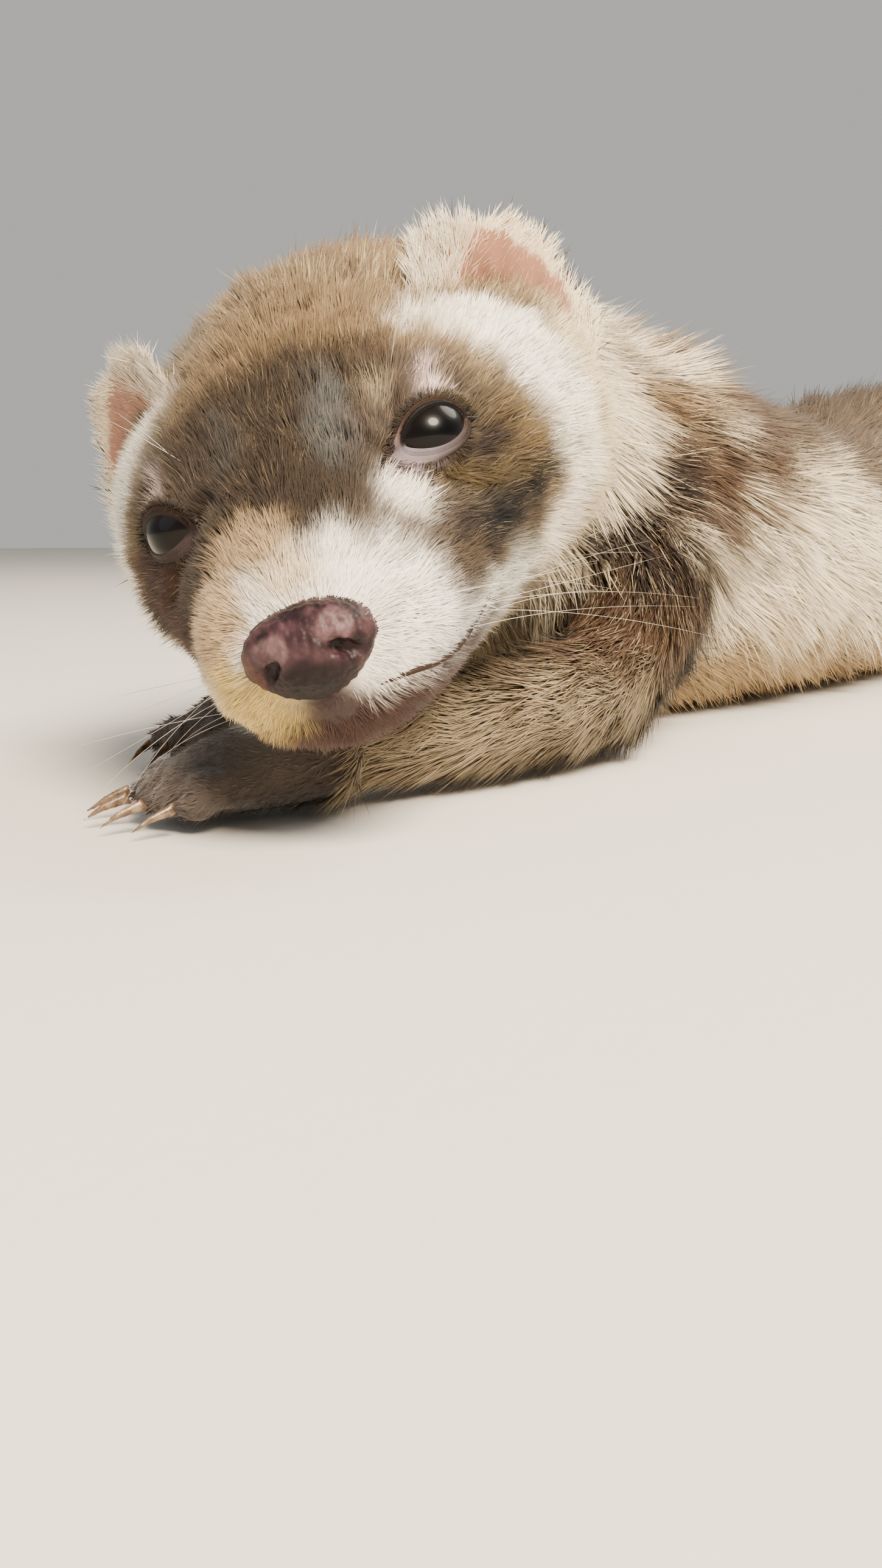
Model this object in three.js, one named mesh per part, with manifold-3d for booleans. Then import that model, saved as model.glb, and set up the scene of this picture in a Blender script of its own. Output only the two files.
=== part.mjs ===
// A life-size domestic ferret that lies on its belly, its head turned to its left and its chin over its left foreleg.
// Millimetres, +Z up, +X towards the head, +Y to the ferret's left. The floor is at z = 0.
// Every solid gives the outline of the coat, out to the tips of the hair.
import * as THREE from "three";
import { mergeVertices } from "three/addons/utils/BufferGeometryUtils.js";
import Module from "manifold-3d";

const wasm = await Module();
wasm.setup();

// Driving dimensions
const gap = 0.3; // between solids that touch
const headPlace = [0, 0, 36.5]; // middle of the skull, between the ears
const headTurn = 29; // degrees, to the ferret's left
const headDrop = 13; // nose down
const headTilt = 20.5; // left ear up
const eyeRadius = 4.1;
const eyePlace = [21.7, 12.9, 4.6]; // in the head's own frame, left side
const eyeGaze = [0.8, 0.57, 0.2];
const lidThickness = 0.7;
const eyeOpening = { half: 3.8, high: 2.7, slant: 24 }; // slant in degrees, outer corner up
const earPlace = [-4.7, 23.3, 10.9];
const earSize = { half: 12.1, high: 10.6, cup: 4.6, rim: 0.8, root: 1.6 };
const noseWidth = 13.2;
const noseHeight = 8.9;
const clawLength = 6.5;
const clawRadius = 1.0;
const toeRadius = 2.7;
const brushDepth = 4.2; // from the tips of the tail's hair down to its core
const lockLength = 0.92; // in stations of the tail
const lockWidth = 5; // half of a lock at its widest

const vec = (x, y, z) => new THREE.Vector3(x, y, z);
const radians = THREE.MathUtils.degToRad;
const smoothstep = (low, high, x) => THREE.MathUtils.smoothstep(x, low, high);
const range = (count) => Array.from({ length: count }, (_, i) => i);

// Value of a key between stations, on a smooth curve through them all
function between(stations, key, at) {
  const last = stations.length - 1;
  let k = 0;
  while (k < last - 1 && at > stations[k + 1].at) k++;
  const [a, b] = [stations[k], stations[k + 1]];
  const before = stations[Math.max(k - 1, 0)];
  const after = stations[Math.min(k + 2, last)];
  const span = b.at - a.at;
  const t = THREE.MathUtils.clamp((at - a.at) / span, 0, 1);
  const slopeA = ((b[key] - before[key]) / (b.at - before.at)) * span;
  const slopeB = ((after[key] - a[key]) / (after.at - a.at)) * span;
  const [t2, t3] = [t * t, t * t * t];
  return (
    (2 * t3 - 3 * t2 + 1) * a[key] +
    (t3 - 2 * t2 + t) * slopeA +
    (3 * t2 - 2 * t3) * b[key] +
    (t3 - t2) * slopeB
  );
}

// Solids from rings of points
function solidFrom(points, faces) {
  const volume = faces.reduce((sum, [a, b, c]) => {
    return sum + points[a].dot(points[b].clone().cross(points[c]));
  }, 0);
  const turned = volume < 0 ? faces.map(([a, b, c]) => [a, c, b]) : faces;
  return new wasm.Manifold(
    new wasm.Mesh({
      numProp: 3,
      vertProperties: new Float32Array(points.flatMap((p) => p.toArray())),
      triVerts: new Uint32Array(turned.flat()),
    }),
  );
}

function ringFaces(count, sides, from, to) {
  return range(count).flatMap((j) => {
    const next = (j + 1) % sides;
    return [
      [from + j, to + j, to + next],
      [from + j, to + next, from + next],
    ];
  });
}

// A closed tube through rings of points, with a fan at each end that meets at its tip or at the ring's middle
function loft(rings, startTip, endTip) {
  const sides = rings[0].length;
  const middle = (ring) => ring.reduce((sum, p) => sum.add(p), vec(0, 0, 0)).divideScalar(sides);
  const points = [...rings.flat(), startTip ?? middle(rings[0]), endTip ?? middle(rings.at(-1))];
  const [startAt, endAt] = [points.length - 2, points.length - 1];
  const lastRing = (rings.length - 1) * sides;
  const faces = range(rings.length - 1).flatMap((i) =>
    ringFaces(sides, sides, i * sides, (i + 1) * sides),
  );
  for (const j of range(sides)) {
    const next = (j + 1) % sides;
    faces.push([startAt, j, next]);
    faces.push([endAt, lastRing + next, lastRing + j]);
  }
  return solidFrom(points, faces);
}

function solidOfGeometry(geometry) {
  geometry.deleteAttribute("normal");
  geometry.deleteAttribute("uv");
  const merged = mergeVertices(geometry, 1e-4);
  return new wasm.Manifold(
    new wasm.Mesh({
      numProp: 3,
      vertProperties: merged.attributes.position.array,
      triVerts: new Uint32Array(merged.index.array),
    }),
  );
}

const ball = (radius, sides) => solidOfGeometry(new THREE.SphereGeometry(radius, sides, sides / 2));
const joined = (solids) => solids.reduce((sum, s) => sum.add(s));
const cutBy = (solid, others) => others.reduce((sum, s) => sum.subtract(s), solid);
const largest = (solid) =>
  solid.decompose().reduce((best, s) => (s.volume() > best.volume() ? s : best));

const floorDepth = 400;
const aboveFloor = solidOfGeometry(
  new THREE.BoxGeometry(1200, 1200, floorDepth).translate(-200, 0, floorDepth / 2),
);

// Angles round a section, closer together at the sides of the body than above and below
const anglesRound = (count, crowding) =>
  range(count).map((j) => {
    const t = (j / count) * 2 * Math.PI;
    return t - (crowding * Math.sin(2 * t)) / 2;
  });

const rounded = (value, power) => Math.sign(value) * Math.abs(value) ** (2 / power);

// Head: sections along its own x axis, from the neck to the front of the muzzle
const headStations = [
  { at: -25, half: 27.5, top: 25.5, bottom: 21.5, power: 2.15 },
  { at: -14, half: 30.8, top: 25.8, bottom: 22, power: 2.18 },
  { at: -3, half: 30.2, top: 25, bottom: 22, power: 2.2 },
  { at: 8, half: 26.8, top: 21.6, bottom: 21.2, power: 2.2 },
  { at: 17, half: 22.4, top: 17, bottom: 20.4, power: 2.2 },
  { at: 25, half: 18, top: 11.4, bottom: 19.8, power: 2.2 },
  { at: 32, half: 14.8, top: 6.4, bottom: 19.4, power: 2.35 },
  { at: 38, half: 12.6, top: 2.5, bottom: 18.6, power: 2.4 },
  { at: 42, half: 10.4, top: -0.6, bottom: 17.2, power: 2.3 },
  { at: 44.6, half: 7.4, top: -2.8, bottom: 15.3, power: 2.2 },
  { at: 45.9, half: 3.4, top: -5.2, bottom: 12.7, power: 2 },
];
const headBack = headStations[0].at;
const headFront = headStations.at(-1).at;

// Swellings and hollows of the head, each on both sides: place, spread and height
const headForms = [
  { place: [-5, 28, -9], spread: [14, 9, 10], height: 1.4 }, // cheek
  { place: [38, 10, -8.8], spread: [5.5, 4, 3.6], height: 1.1 }, // whisker pad
  { place: [21, 12, 12], spread: [6, 4.5, 3.5], height: 0.8 }, // brow
  { place: [31, 12, -0.5], spread: [4, 4, 4], height: -0.9 }, // in front of the eye
  { place: [11, 22, 9], spread: [6, 5, 5], height: -1 }, // temple
  { place: [-2, 17, 19], spread: [14, 8.5, 8], height: -3.1 }, // side of the crown
  { place: [33, 0, 6], spread: [6, 7, 3], height: -0.7 }, // bridge of the nose
  { place: [41, 0, -17.2], spread: [3.5, 4.5, 2.5], height: 0.7 }, // chin
];

// How far out the side of the head is at a place along it and a height
function headSide(at, z) {
  const [half, top, bottom, power] = ["half", "top", "bottom", "power"].map((key) =>
    between(headStations, key, at),
  );
  const high = Math.abs((z - (top - bottom) / 2) / ((top + bottom) / 2));
  return half * (1 - high ** power) ** (1 / power);
}

function headPoint(at, angle, grow) {
  const [half, top, bottom, power] = ["half", "top", "bottom", "power"].map((key) =>
    between(headStations, key, at),
  );
  const middle = (top - bottom) / 2;
  const high = (top + bottom) / 2;
  const [c, s] = [rounded(Math.cos(angle), power), rounded(Math.sin(angle), power)];
  const p = vec(at, half * c, middle + high * s);
  const out = vec(0.35 * smoothstep(30, 46, at), c / half, s / high);
  out.y *= 12;
  out.z *= 12;
  out.normalize();
  const lift = headForms.reduce((sum, { place, spread, height }) => {
    const away =
      ((p.x - place[0]) / spread[0]) ** 2 +
      ((Math.abs(p.y) - place[1]) / spread[1]) ** 2 +
      ((p.z - place[2]) / spread[2]) ** 2;
    return sum + height * Math.exp(-away);
  }, grow);
  return p.addScaledVector(out, lift);
}

const headTurned = new THREE.Matrix4().makeRotationFromEuler(
  new THREE.Euler(radians(headTilt), radians(headDrop), radians(headTurn), "ZYX"),
);
const headFrame = new THREE.Matrix4()
  .makeTranslation(...headPlace)
  .multiply(headTurned);
const headForward = vec(1, 0, 0).transformDirection(headFrame);
const headUp = vec(0, 0, 1).transformDirection(headFrame);
const inHead = (solid) => solid.transform(headFrame.elements);
const onSide = (solid, side) => (side > 0 ? solid : solid.mirror([0, 1, 0]));

function headSolid(grow, steps = 27, sides = 36) {
  const angles = anglesRound(sides, 0.3);
  const length = headFront - headBack;
  const rings = range(steps + 1).map((i) => {
    const at = headFront - length * (i / steps) ** 1.25;
    return angles.map((angle) => headPoint(at, angle, grow));
  });
  const [frontTop, frontBottom] = [headStations.at(-1).top, -headStations.at(-1).bottom];
  const tip = vec(headFront + 0.5 + grow, 0, (frontTop + frontBottom) / 2);
  const back = vec(headBack - grow, 0, 0);
  if (grow) rings.at(-1).forEach((p) => (p.x -= grow));
  return loft(rings, tip, back);
}

// Eyes: a ball in a socket, under lids with an almond opening
const gaze = vec(...eyeGaze).normalize();
const eyeFrame = (() => {
  const slant = radians(eyeOpening.slant);
  const flat = vec(0, 0, 1).cross(gaze).normalize();
  const upright = gaze.clone().cross(flat);
  const along = flat.clone().multiplyScalar(Math.cos(slant)).addScaledVector(upright, Math.sin(slant));
  const across = gaze.clone().cross(along);
  return new THREE.Matrix4().makeBasis(gaze, along, across).setPosition(...eyePlace);
})();

function lidOpening() {
  const sides = 28;
  const rings = [2.2, 9].map((depth) =>
    range(sides).map((j) => {
      const t = (j / sides) * 2 * Math.PI;
      const wide = (eyeOpening.half * Math.cos(t) * depth) / eyeRadius;
      const high = (eyeOpening.high * Math.sin(t) * Math.abs(Math.sin(t)) ** 0.25 * depth) / eyeRadius;
      return vec(depth, wide, high);
    }),
  );
  return loft(rings);
}

const lidDome = () =>
  ball(1, 22).scale([
    eyeRadius + gap + lidThickness,
    eyeRadius + gap + lidThickness + 0.8,
    eyeRadius + gap + lidThickness,
  ]);
const placedEye = (solid, side) => onSide(solid.transform(eyeFrame.elements), side);

// Mouth: a fine groove between two lips, from under the nose back to each corner
const mouthPlaces = [
  [43.9, -12.3],
  [40.8, -13.1],
  [36.8, -13.4],
  [32, -12.9],
  [28, -11.9],
  [25.2, -10.8],
];

function tube(points, radius, sides, steps) {
  const curve = new THREE.CatmullRomCurve3(points.map((p) => vec(...p)));
  const outline = new THREE.Shape(
    range(sides).map((j) => {
      const t = (j / sides) * 2 * Math.PI;
      return new THREE.Vector2(radius * Math.cos(t), radius * Math.sin(t));
    }),
  );
  return solidOfGeometry(
    new THREE.ExtrudeGeometry(outline, { steps, extrudePath: curve, bevelEnabled: false }),
  );
}

function mouthTube(radius, depth, sides, steps) {
  const left = mouthPlaces.map(([x, z]) => [x - depth / 2, headSide(x, z) - depth, z]);
  const right = left.toReversed().map(([x, y, z]) => [x, -y, z]);
  return tube([...right, [headFront - depth, 0, -12], ...left], radius, sides, steps);
}

// Nose: a leathery pad with two comma-shaped nostrils and a groove between them
const noseStations = [
  { at: 0, wide: 0.42, top: 0.3, bottom: 0.5 },
  { at: 1.2, wide: 0.78, top: 0.72, bottom: 0.82 },
  { at: 2.6, wide: 0.96, top: 0.94, bottom: 0.97 },
  { at: 4.6, wide: 1, top: 1, bottom: 1 },
  { at: 8, wide: 0.9, top: 0.96, bottom: 0.85 },
];
const nosePlace = [47.6, 0, -7.2];

function nosePad(grow) {
  const [steps, sides] = [6, 18];
  const rings = range(steps + 1).map((i) => {
    const at = 8 * (i / steps) ** 1.4;
    return range(sides).map((j) => {
      const t = (j / sides) * 2 * Math.PI;
      const [c, s] = [rounded(Math.cos(t), 2.3), rounded(Math.sin(t), 2.3)];
      const narrow = s < 0 ? 1 + 0.34 * s : 1;
      const wide = (noseWidth / 2) * between(noseStations, "wide", at) * narrow + grow;
      const high = (noseHeight / 2) * between(noseStations, s > 0 ? "top" : "bottom", at) + grow;
      return vec(-at + (i ? 0 : grow), wide * c, high * s);
    });
  });
  rings.forEach((ring) => ring.forEach((p) => (p.x += 0.12 * p.z)));
  return loft(rings, vec(0.45 + grow, 0, 0)).translate(nosePlace);
}

function nostril(side) {
  const hole = tube(
    [
      [1.5, 2.8, 1],
      [-0.6, 3, 0.6],
      [-1.4, 4.3, -0.6],
      [-1.2, 7.1, -2],
    ],
    1,
    6,
    6,
  );
  return onSide(hole, side).translate(nosePlace);
}

const noseGroove = () =>
  tube([[1.1, 0, 3], [1.1, 0, 0], [0.2, 0, -3], [-2.5, 0, -4.8]], 0.42, 4, 6).translate(nosePlace);

// Ears: a cupped disc whose lower part is cut away by the head
const earFrame = (() => {
  const along = vec(-0.436, 0.59, -0.68).normalize(); // from the crown end to the cheek end of the base
  const rise = vec(-0.46, 0.5, 0.73);
  rise.addScaledVector(along, -rise.dot(along)).normalize();
  const face = along.clone().cross(rise);
  return new THREE.Matrix4().makeBasis(along, rise, face).setPosition(...earPlace);
})();

function earShell() {
  const [steps, sides] = [5, 24];
  const { half, high, cup, rim, root } = earSize;
  const surface = (r, t, front) => {
    const [c, s] = [Math.cos(t), Math.sin(t)];
    const squared = 1 + 0.06 * Math.cos(4 * t);
    const hollow = cup * (1 - r * r) * (0.75 + 0.25 * Math.max(-s, 0));
    const thick = THREE.MathUtils.lerp(root, rim, r) * Math.sqrt(Math.max(1 - r ** 4, 0.02));
    const curl = 1.6 * r ** 3 * Math.max(s, 0);
    return vec(half * r * c * squared, high * r * s * squared, -hollow - curl + (front ? thick : -thick));
  };
  const discs = [true, false].map((front) =>
    range(steps).map((i) => {
      const r = Math.sin((((i + 1) / steps) * Math.PI) / 2);
      return range(sides).map((j) => surface(r, (j / sides) * 2 * Math.PI, front));
    }),
  );
  const rings = [...discs[0], ...discs[1].reverse()];
  return loft(rings, surface(0, 0, true), surface(0, 0, false)).transform(earFrame.elements);
}

// Trunk and tail: sections from the back of the head to the tip of the tail
const backOfHead = vec(headBack, 0, 0).applyMatrix4(headFrame);
const trunkStations = [
  { at: 0, place: backOfHead.toArray(), half: 27.5, top: 25.5, bottom: 21.5, power: 2.15 },
  { at: 1, place: [-42, -15, 39], half: 29, top: 31, bottom: 24.5, power: 2.15 },
  { at: 2, place: [-62, -18, 35], half: 30, top: 32.5, bottom: 29, power: 2.15 },
  { at: 3, place: [-84, -17, 32.5], half: 33, top: 34.5, bottom: 33.5, power: 2.2 },
  { at: 4, place: [-112, -14, 31], half: 34.5, top: 29, bottom: 32, power: 2.25 },
  { at: 5, place: [-146, -12, 30.5], half: 35, top: 24, bottom: 31.5, power: 2.25 },
  { at: 6, place: [-180, -12, 30.5], half: 35.5, top: 27, bottom: 31.5, power: 2.25 },
  { at: 7, place: [-214, -11, 31], half: 36, top: 35.5, bottom: 32, power: 2.2 },
  { at: 8, place: [-246, -7, 31], half: 35, top: 36, bottom: 32, power: 2.15 },
  { at: 9, place: [-276, 0, 28], half: 28.5, top: 30, bottom: 29, power: 2.05 },
  { at: 10, place: [-299, 8.5, 20.5], half: 16, top: 16.5, bottom: 19, power: 2 },
  { at: 11, place: [-324, 20, 14.5], half: 13, top: 12.5, bottom: 15, power: 2 },
  { at: 12, place: [-356, 34, 13], half: 14, top: 12.6, bottom: 13.5, power: 2 },
  { at: 13, place: [-390, 43, 11.8], half: 12.5, top: 11.7, bottom: 12.3, power: 2 },
  { at: 14, place: [-416, 45, 9.2], half: 7, top: 6.6, bottom: 9.2, power: 2 },
];
const trunkCurve = new THREE.CatmullRomCurve3(
  trunkStations.map((s) => vec(...s.place)),
  false,
  "catmullrom",
  0.5,
);
const lastStation = trunkStations.at(-1).at;

function trunkFrame(at) {
  const u = THREE.MathUtils.clamp(at / lastStation, 0, 1);
  const place = trunkCurve.getPoint(u);
  const tangent = trunkCurve.getTangent(u).negate();
  const turned = smoothstep(0, 1.6, at);
  const forward = headForward.clone().lerp(tangent, turned).normalize();
  const up = headUp.clone().lerp(vec(0, 0, 1), smoothstep(0, 2.5, at));
  up.addScaledVector(forward, -up.dot(forward)).normalize();
  return { place, forward, up, across: up.clone().cross(forward) };
}

function trunkRing(at, angles, grow) {
  const grown = typeof grow === "function" ? grow : () => grow;
  const { place, up, across } = trunkFrame(at);
  const [half, top, bottom, power] = ["half", "top", "bottom", "power"].map((key) =>
    between(trunkStations, key, at),
  );
  const middle = (top - bottom) / 2;
  const high = (top + bottom) / 2;
  return angles.map((angle) =>
    place
      .clone()
      .addScaledVector(across, (half + grown(angle)) * rounded(Math.cos(angle), power))
      .addScaledVector(up, middle + (high + grown(angle)) * rounded(Math.sin(angle), power)),
  );
}

// A length of the trunk between two stations, each end drawn back by half the gap
function trunkLength(from, to, steps, sides, grow = 0) {
  const reach = (at, millimetres) => {
    const speed = trunkFrame(at).place.distanceTo(trunkFrame(at + 0.01).place) / 0.01;
    return millimetres / speed;
  };
  const start = from + reach(from, from === 0 ? gap : gap / 2) - reach(from, grow);
  const end = to - (to < lastStation ? reach(to - 0.02, gap / 2) : 0);
  const angles = anglesRound(sides, 0.1);
  const rings = range(steps + 1).map((i) =>
    trunkRing(THREE.MathUtils.lerp(start, end, i / steps), angles, grow),
  );
  if (to < lastStation) return loft(rings);
  const { place, forward } = trunkFrame(to);
  return loft(rings, undefined, place.clone().addScaledVector(forward, -7));
}

// The tail's brush: flat locks that taper, rooted in a core and bent back along it
const chance = (seed) => {
  const wave = Math.sin(seed * 127.1 + 311.7) * 43758.5453;
  return wave - Math.floor(wave);
};

// The core leaves the outline gradually behind the hips, and keeps it where the tail rests on the floor
const coreDepth = (at) => (angle) =>
  -brushDepth * smoothstep(-0.95, -0.5, Math.sin(angle)) * smoothstep(9.9, 10.5, at);

function tailCore() {
  const angles = anglesRound(10, 0.1);
  const start = 9.9 + gap / 50; // a station is about 25 mm here
  const rings = range(9).map((i) => {
    const at = THREE.MathUtils.lerp(start, lastStation, i / 8);
    return trunkRing(at, angles, coreDepth(at));
  });
  const { place, forward } = trunkFrame(lastStation);
  return loft(rings, undefined, place.clone().addScaledVector(forward, -3));
}

// A point above the tail at an angle round it, also past its last station, where the brush closes to a tip
function brushPoint(at, angle, grow) {
  const beyond = Math.max(at - lastStation, 0);
  const [point] = trunkRing(Math.min(at, lastStation), [angle], grow);
  const { place, forward } = trunkFrame(Math.min(at, lastStation));
  return place
    .clone()
    .lerp(point, Math.max(1 - 1.1 * beyond, 0.1))
    .addScaledVector(forward, -14 * beyond);
}

function tailLock(at, angle, size) {
  const stations = [
    { t: 0, grow: -brushDepth - 1.8, wide: 0.8, thick: 1.2 },
    { t: 0.4, grow: -brushDepth * 0.5, wide: 1, thick: 1.5 },
    { t: 0.74, grow: -brushDepth * 0.14, wide: 0.6, thick: 1 },
  ];
  const length = lockLength * size;
  const rings = stations.map(({ t, grow, wide, thick }) => {
    const here = at + length * t;
    const middle = brushPoint(here, angle, grow);
    const ahead = brushPoint(here + 0.05, angle, grow).sub(middle).normalize();
    const out = middle.clone().sub(trunkFrame(Math.min(here, lastStation)).place);
    out.addScaledVector(ahead, -out.dot(ahead)).normalize();
    const across = out.clone().cross(ahead);
    return [
      middle.clone().addScaledVector(across, lockWidth * wide * size),
      middle.clone().addScaledVector(out, thick),
      middle.clone().addScaledVector(across, -lockWidth * wide * size),
    ];
  });
  return loft(rings, undefined, brushPoint(at + length, angle, 1.2));
}

function tailLocks() {
  const rows = 6;
  return range(rows).flatMap((i) => {
    const at = THREE.MathUtils.lerp(10.12, 13.75, i / (rows - 1));
    const count = i < rows - 1 ? 6 : 4;
    return range(count).map((j) => {
      const seed = i * 17 + j;
      const turn = (j + 0.5 * (i % 2) + 0.3 * (chance(seed) - 0.5)) / (count - 0.5);
      const angle = radians(-38 + 256 * turn);
      return tailLock(at + 0.16 * (chance(seed + 0.5) - 0.5), angle, 0.9 + 0.3 * chance(seed + 0.25));
    });
  });
}

// Limbs: a tube through places with a radius at each, rounded at both ends
function limb(stations, { sides = 16, steps = 10, grow = 0, turns = [24, 60] } = {}) {
  const placed = stations.map((s, i) => ({ at: i, ...s }));
  const curve = new THREE.CatmullRomCurve3(placed.map((s) => vec(...s.place)));
  const last = placed.length - 1;
  const section = (at, shrink, ahead) => {
    const u = THREE.MathUtils.clamp(at / last, 0, 1);
    const forward = curve.getTangent(u);
    const across = vec(0, 0, 1).cross(forward).normalize();
    const up = forward.clone().cross(across);
    const wide = between(placed, "wide", at) + grow;
    const high = between(placed, "high", at) + grow;
    const middle = curve.getPoint(u).addScaledVector(forward, (ahead * (wide + high)) / 2);
    return range(sides).map((j) => {
      const t = (j / sides) * 2 * Math.PI;
      return middle
        .clone()
        .addScaledVector(across, wide * shrink * Math.cos(t))
        .addScaledVector(up, high * shrink * Math.sin(t));
    });
  };
  const endTurns = turns.map(radians);
  const startRings = endTurns.toReversed().map((t) => section(0, Math.cos(t), -Math.sin(t) * 0.8));
  const endRings = endTurns.map((t) => section(last, Math.cos(t), Math.sin(t) * 0.8));
  const middleRings = range(steps + 1).map((i) => section((i / steps) * last, 1, 0));
  return loft([...startRings, ...middleRings, ...endRings]);
}

const mirrored = (stations, middleY) =>
  stations.map(({ place: [x, y, z], ...sizes }) => ({ place: [x, 2 * middleY - y, z], ...sizes }));

// Paws: a palm and five toes, and a claw on each toe
function pawPieces({ wrist, heading, length, side, raise = 0 }, grow) {
  const turned = radians(heading);
  const forward = vec(Math.cos(turned), Math.sin(turned), 0);
  const across = vec(-Math.sin(turned), Math.cos(turned), 0).multiplyScalar(side);
  const at = (ahead, out, up) => {
    const p = vec(...wrist).addScaledVector(forward, ahead).addScaledVector(across, out);
    return [p.x, p.y, up + raise];
  };
  const palm = limb(
    [
      { place: at(-4, 0, 7.5), wide: 6.2, high: 5.6 },
      { place: at(length * 0.3, 0, 6.2), wide: 7.2, high: 5.6 },
      { place: at(length * 0.62, 0, 4.8), wide: 7.6, high: 4.6 },
    ],
    { sides: 12, steps: 3, grow, turns: [40] },
  );
  const toeOuts = [-6.4, -3.4, 0, 3.4, 6.2];
  const toeReach = [-5.5, -0.8, 0.6, 0, -2.2];
  const toes = toeOuts.map((out, i) => {
    const start = at(length * 0.55, out * 0.8, 4);
    const knuckle = at(length * 0.8 + toeReach[i] * 0.7, out * 1.1, 4.4);
    const end = at(length + toeReach[i] - toeRadius, out * 1.32, 2.9);
    return limb(
      [
        { place: start, wide: toeRadius, high: toeRadius },
        { place: knuckle, wide: toeRadius, high: toeRadius * 1.05 },
        { place: end, wide: toeRadius * 0.92, high: toeRadius * 0.9 },
      ],
      { sides: 7, steps: 2, grow, turns: [45] },
    );
  });
  const claws = toeOuts.map((out, i) => {
    const reach = length + toeReach[i] - toeRadius;
    const stations = range(4).map((k) => {
      const t = k / 3;
      const size = clawRadius * (1 - 0.86 * t ** 1.3);
      const place = at(reach + clawLength * 1.1 * t, out * (1.32 + 0.12 * t), 3.4 - 2.5 * t * t);
      return { place, wide: size * 0.7, high: size };
    });
    return limb(stations, { sides: 5, steps: 3, turns: [] });
  });
  return { solid: joined([palm, ...toes]), claws };
}

// Poses of the limbs
const leftArm = [
  { place: [-78, -2, 32], wide: 15, high: 17 },
  { place: [-60, 7, 22], wide: 13, high: 14 },
  { place: [-43, 13, 12.5], wide: 9.5, high: 11 },
];
const leftForearm = [
  { place: [-43, 13.5, 11.5], wide: 9, high: 10.5 },
  { place: [-20, 13, 9], wide: 8.2, high: 8.8 },
  { place: [8, 6.5, 7.4], wide: 6.6, high: 7 },
];
const rightArm = [
  { place: [-84, -34, 32], wide: 15, high: 17 },
  { place: [-71, -41, 22], wide: 13, high: 14 },
  { place: [-58, -46, 12.5], wide: 9.5, high: 11 },
];
const rightForearm = [
  { place: [-58, -46, 11.5], wide: 9, high: 10.5 },
  { place: [-42, -40, 9], wide: 8, high: 8.6 },
  { place: [-25, -32, 7.4], wide: 6.4, high: 7 },
];
const leftForepaw = { wrist: [9, 6, 0], heading: -30, length: 25, side: 1 };
const rightForepaw = { wrist: [-24, -31.5, 0], heading: 14, length: 25, side: -1 };

const hipMiddle = -6; // y of the midline at the hips
const leftThigh = [
  { place: [-264, 13, 27], wide: 17, high: 20 },
  { place: [-246, 20, 28], wide: 17.5, high: 23 },
  { place: [-226, 25, 25], wide: 13.5, high: 18 },
  { place: [-211, 28, 19], wide: 9, high: 12 },
];
const leftShank = [
  { place: [-213, 30, 15], wide: 8.5, high: 11 },
  { place: [-237, 34, 12], wide: 8, high: 10 },
  { place: [-259, 33, 9.5], wide: 6.5, high: 8 },
];
const leftHock = [
  { place: [-260, 34, 7.5], wide: 6, high: 6.8 },
  { place: [-238, 38, 6.4], wide: 6.4, high: 5.8 },
  { place: [-224, 40, 6.4], wide: 6.6, high: 5.6 },
];
const leftHindpaw = { wrist: [-226, 39.5, 0], heading: 8, length: 24, side: 1 };
const mirroredPaw = (paw, middleY) => ({
  ...paw,
  wrist: [paw.wrist[0], 2 * middleY - paw.wrist[1], 0],
  heading: -paw.heading,
  side: -paw.side,
});

// Materials
const finish = (color, roughness) => new THREE.MeshStandardMaterial({ color, roughness, metalness: 0 });
const materials = {
  coat: finish("#8f7a63", 0.9),
  paleCoat: finish("#d9cdb4", 0.9),
  darkCoat: finish("#4a3a30", 0.9),
  nose: finish("#8d6468", 0.45),
  eye: finish("#14120f", 0.08),
  claw: finish("#cbb79a", 0.5),
};

// Assembly
const ferret = new THREE.Group();

function place(name, solid, material) {
  const { vertProperties, triVerts, numProp } = largest(solid.intersect(aboveFloor)).getMesh();
  const points = range(vertProperties.length / numProp).flatMap((i) => [
    ...vertProperties.subarray(i * numProp, i * numProp + 3),
  ]);
  const geometry = new THREE.BufferGeometry();
  geometry.setAttribute("position", new THREE.Float32BufferAttribute(points, 3));
  geometry.setIndex(new THREE.BufferAttribute(triVerts, 1));
  const mesh = new THREE.Mesh(geometry, material);
  mesh.name = name;
  ferret.add(mesh);
}

const sidesOf = { left: 1, right: -1 };
const noseGrown = nosePad(gap);
const sockets = Object.values(sidesOf).map((side) => placedEye(ball(eyeRadius + gap, 22), side));
const domes = Object.values(sidesOf).map((side) => placedEye(lidDome(), side));
const openings = Object.values(sidesOf).map((side) => placedEye(lidOpening(), side));
const headInside = headSolid(0);
const face = cutBy(joined([headInside, ...domes, mouthTube(1.7, 0.9, 7, 20)]), [
  ...sockets,
  ...openings,
  mouthTube(0.6, -0.3, 4, 20),
  noseGrown,
]);
const nose = cutBy(nosePad(0), [nostril(1), nostril(-1), noseGroove()]);
place("head", inHead(face), materials.coat);
place("nose", inHead(nose), materials.nose);
const headGrown = inHead(joined([headSolid(gap), ...domes]));
for (const [name, side] of Object.entries(sidesOf)) {
  place(`eye_${name}`, inHead(placedEye(ball(eyeRadius, 16), side)), materials.eye);
  place(`ear_${name}`, cutBy(inHead(onSide(earShell(), side)), [headGrown]), materials.paleCoat);
}

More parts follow.
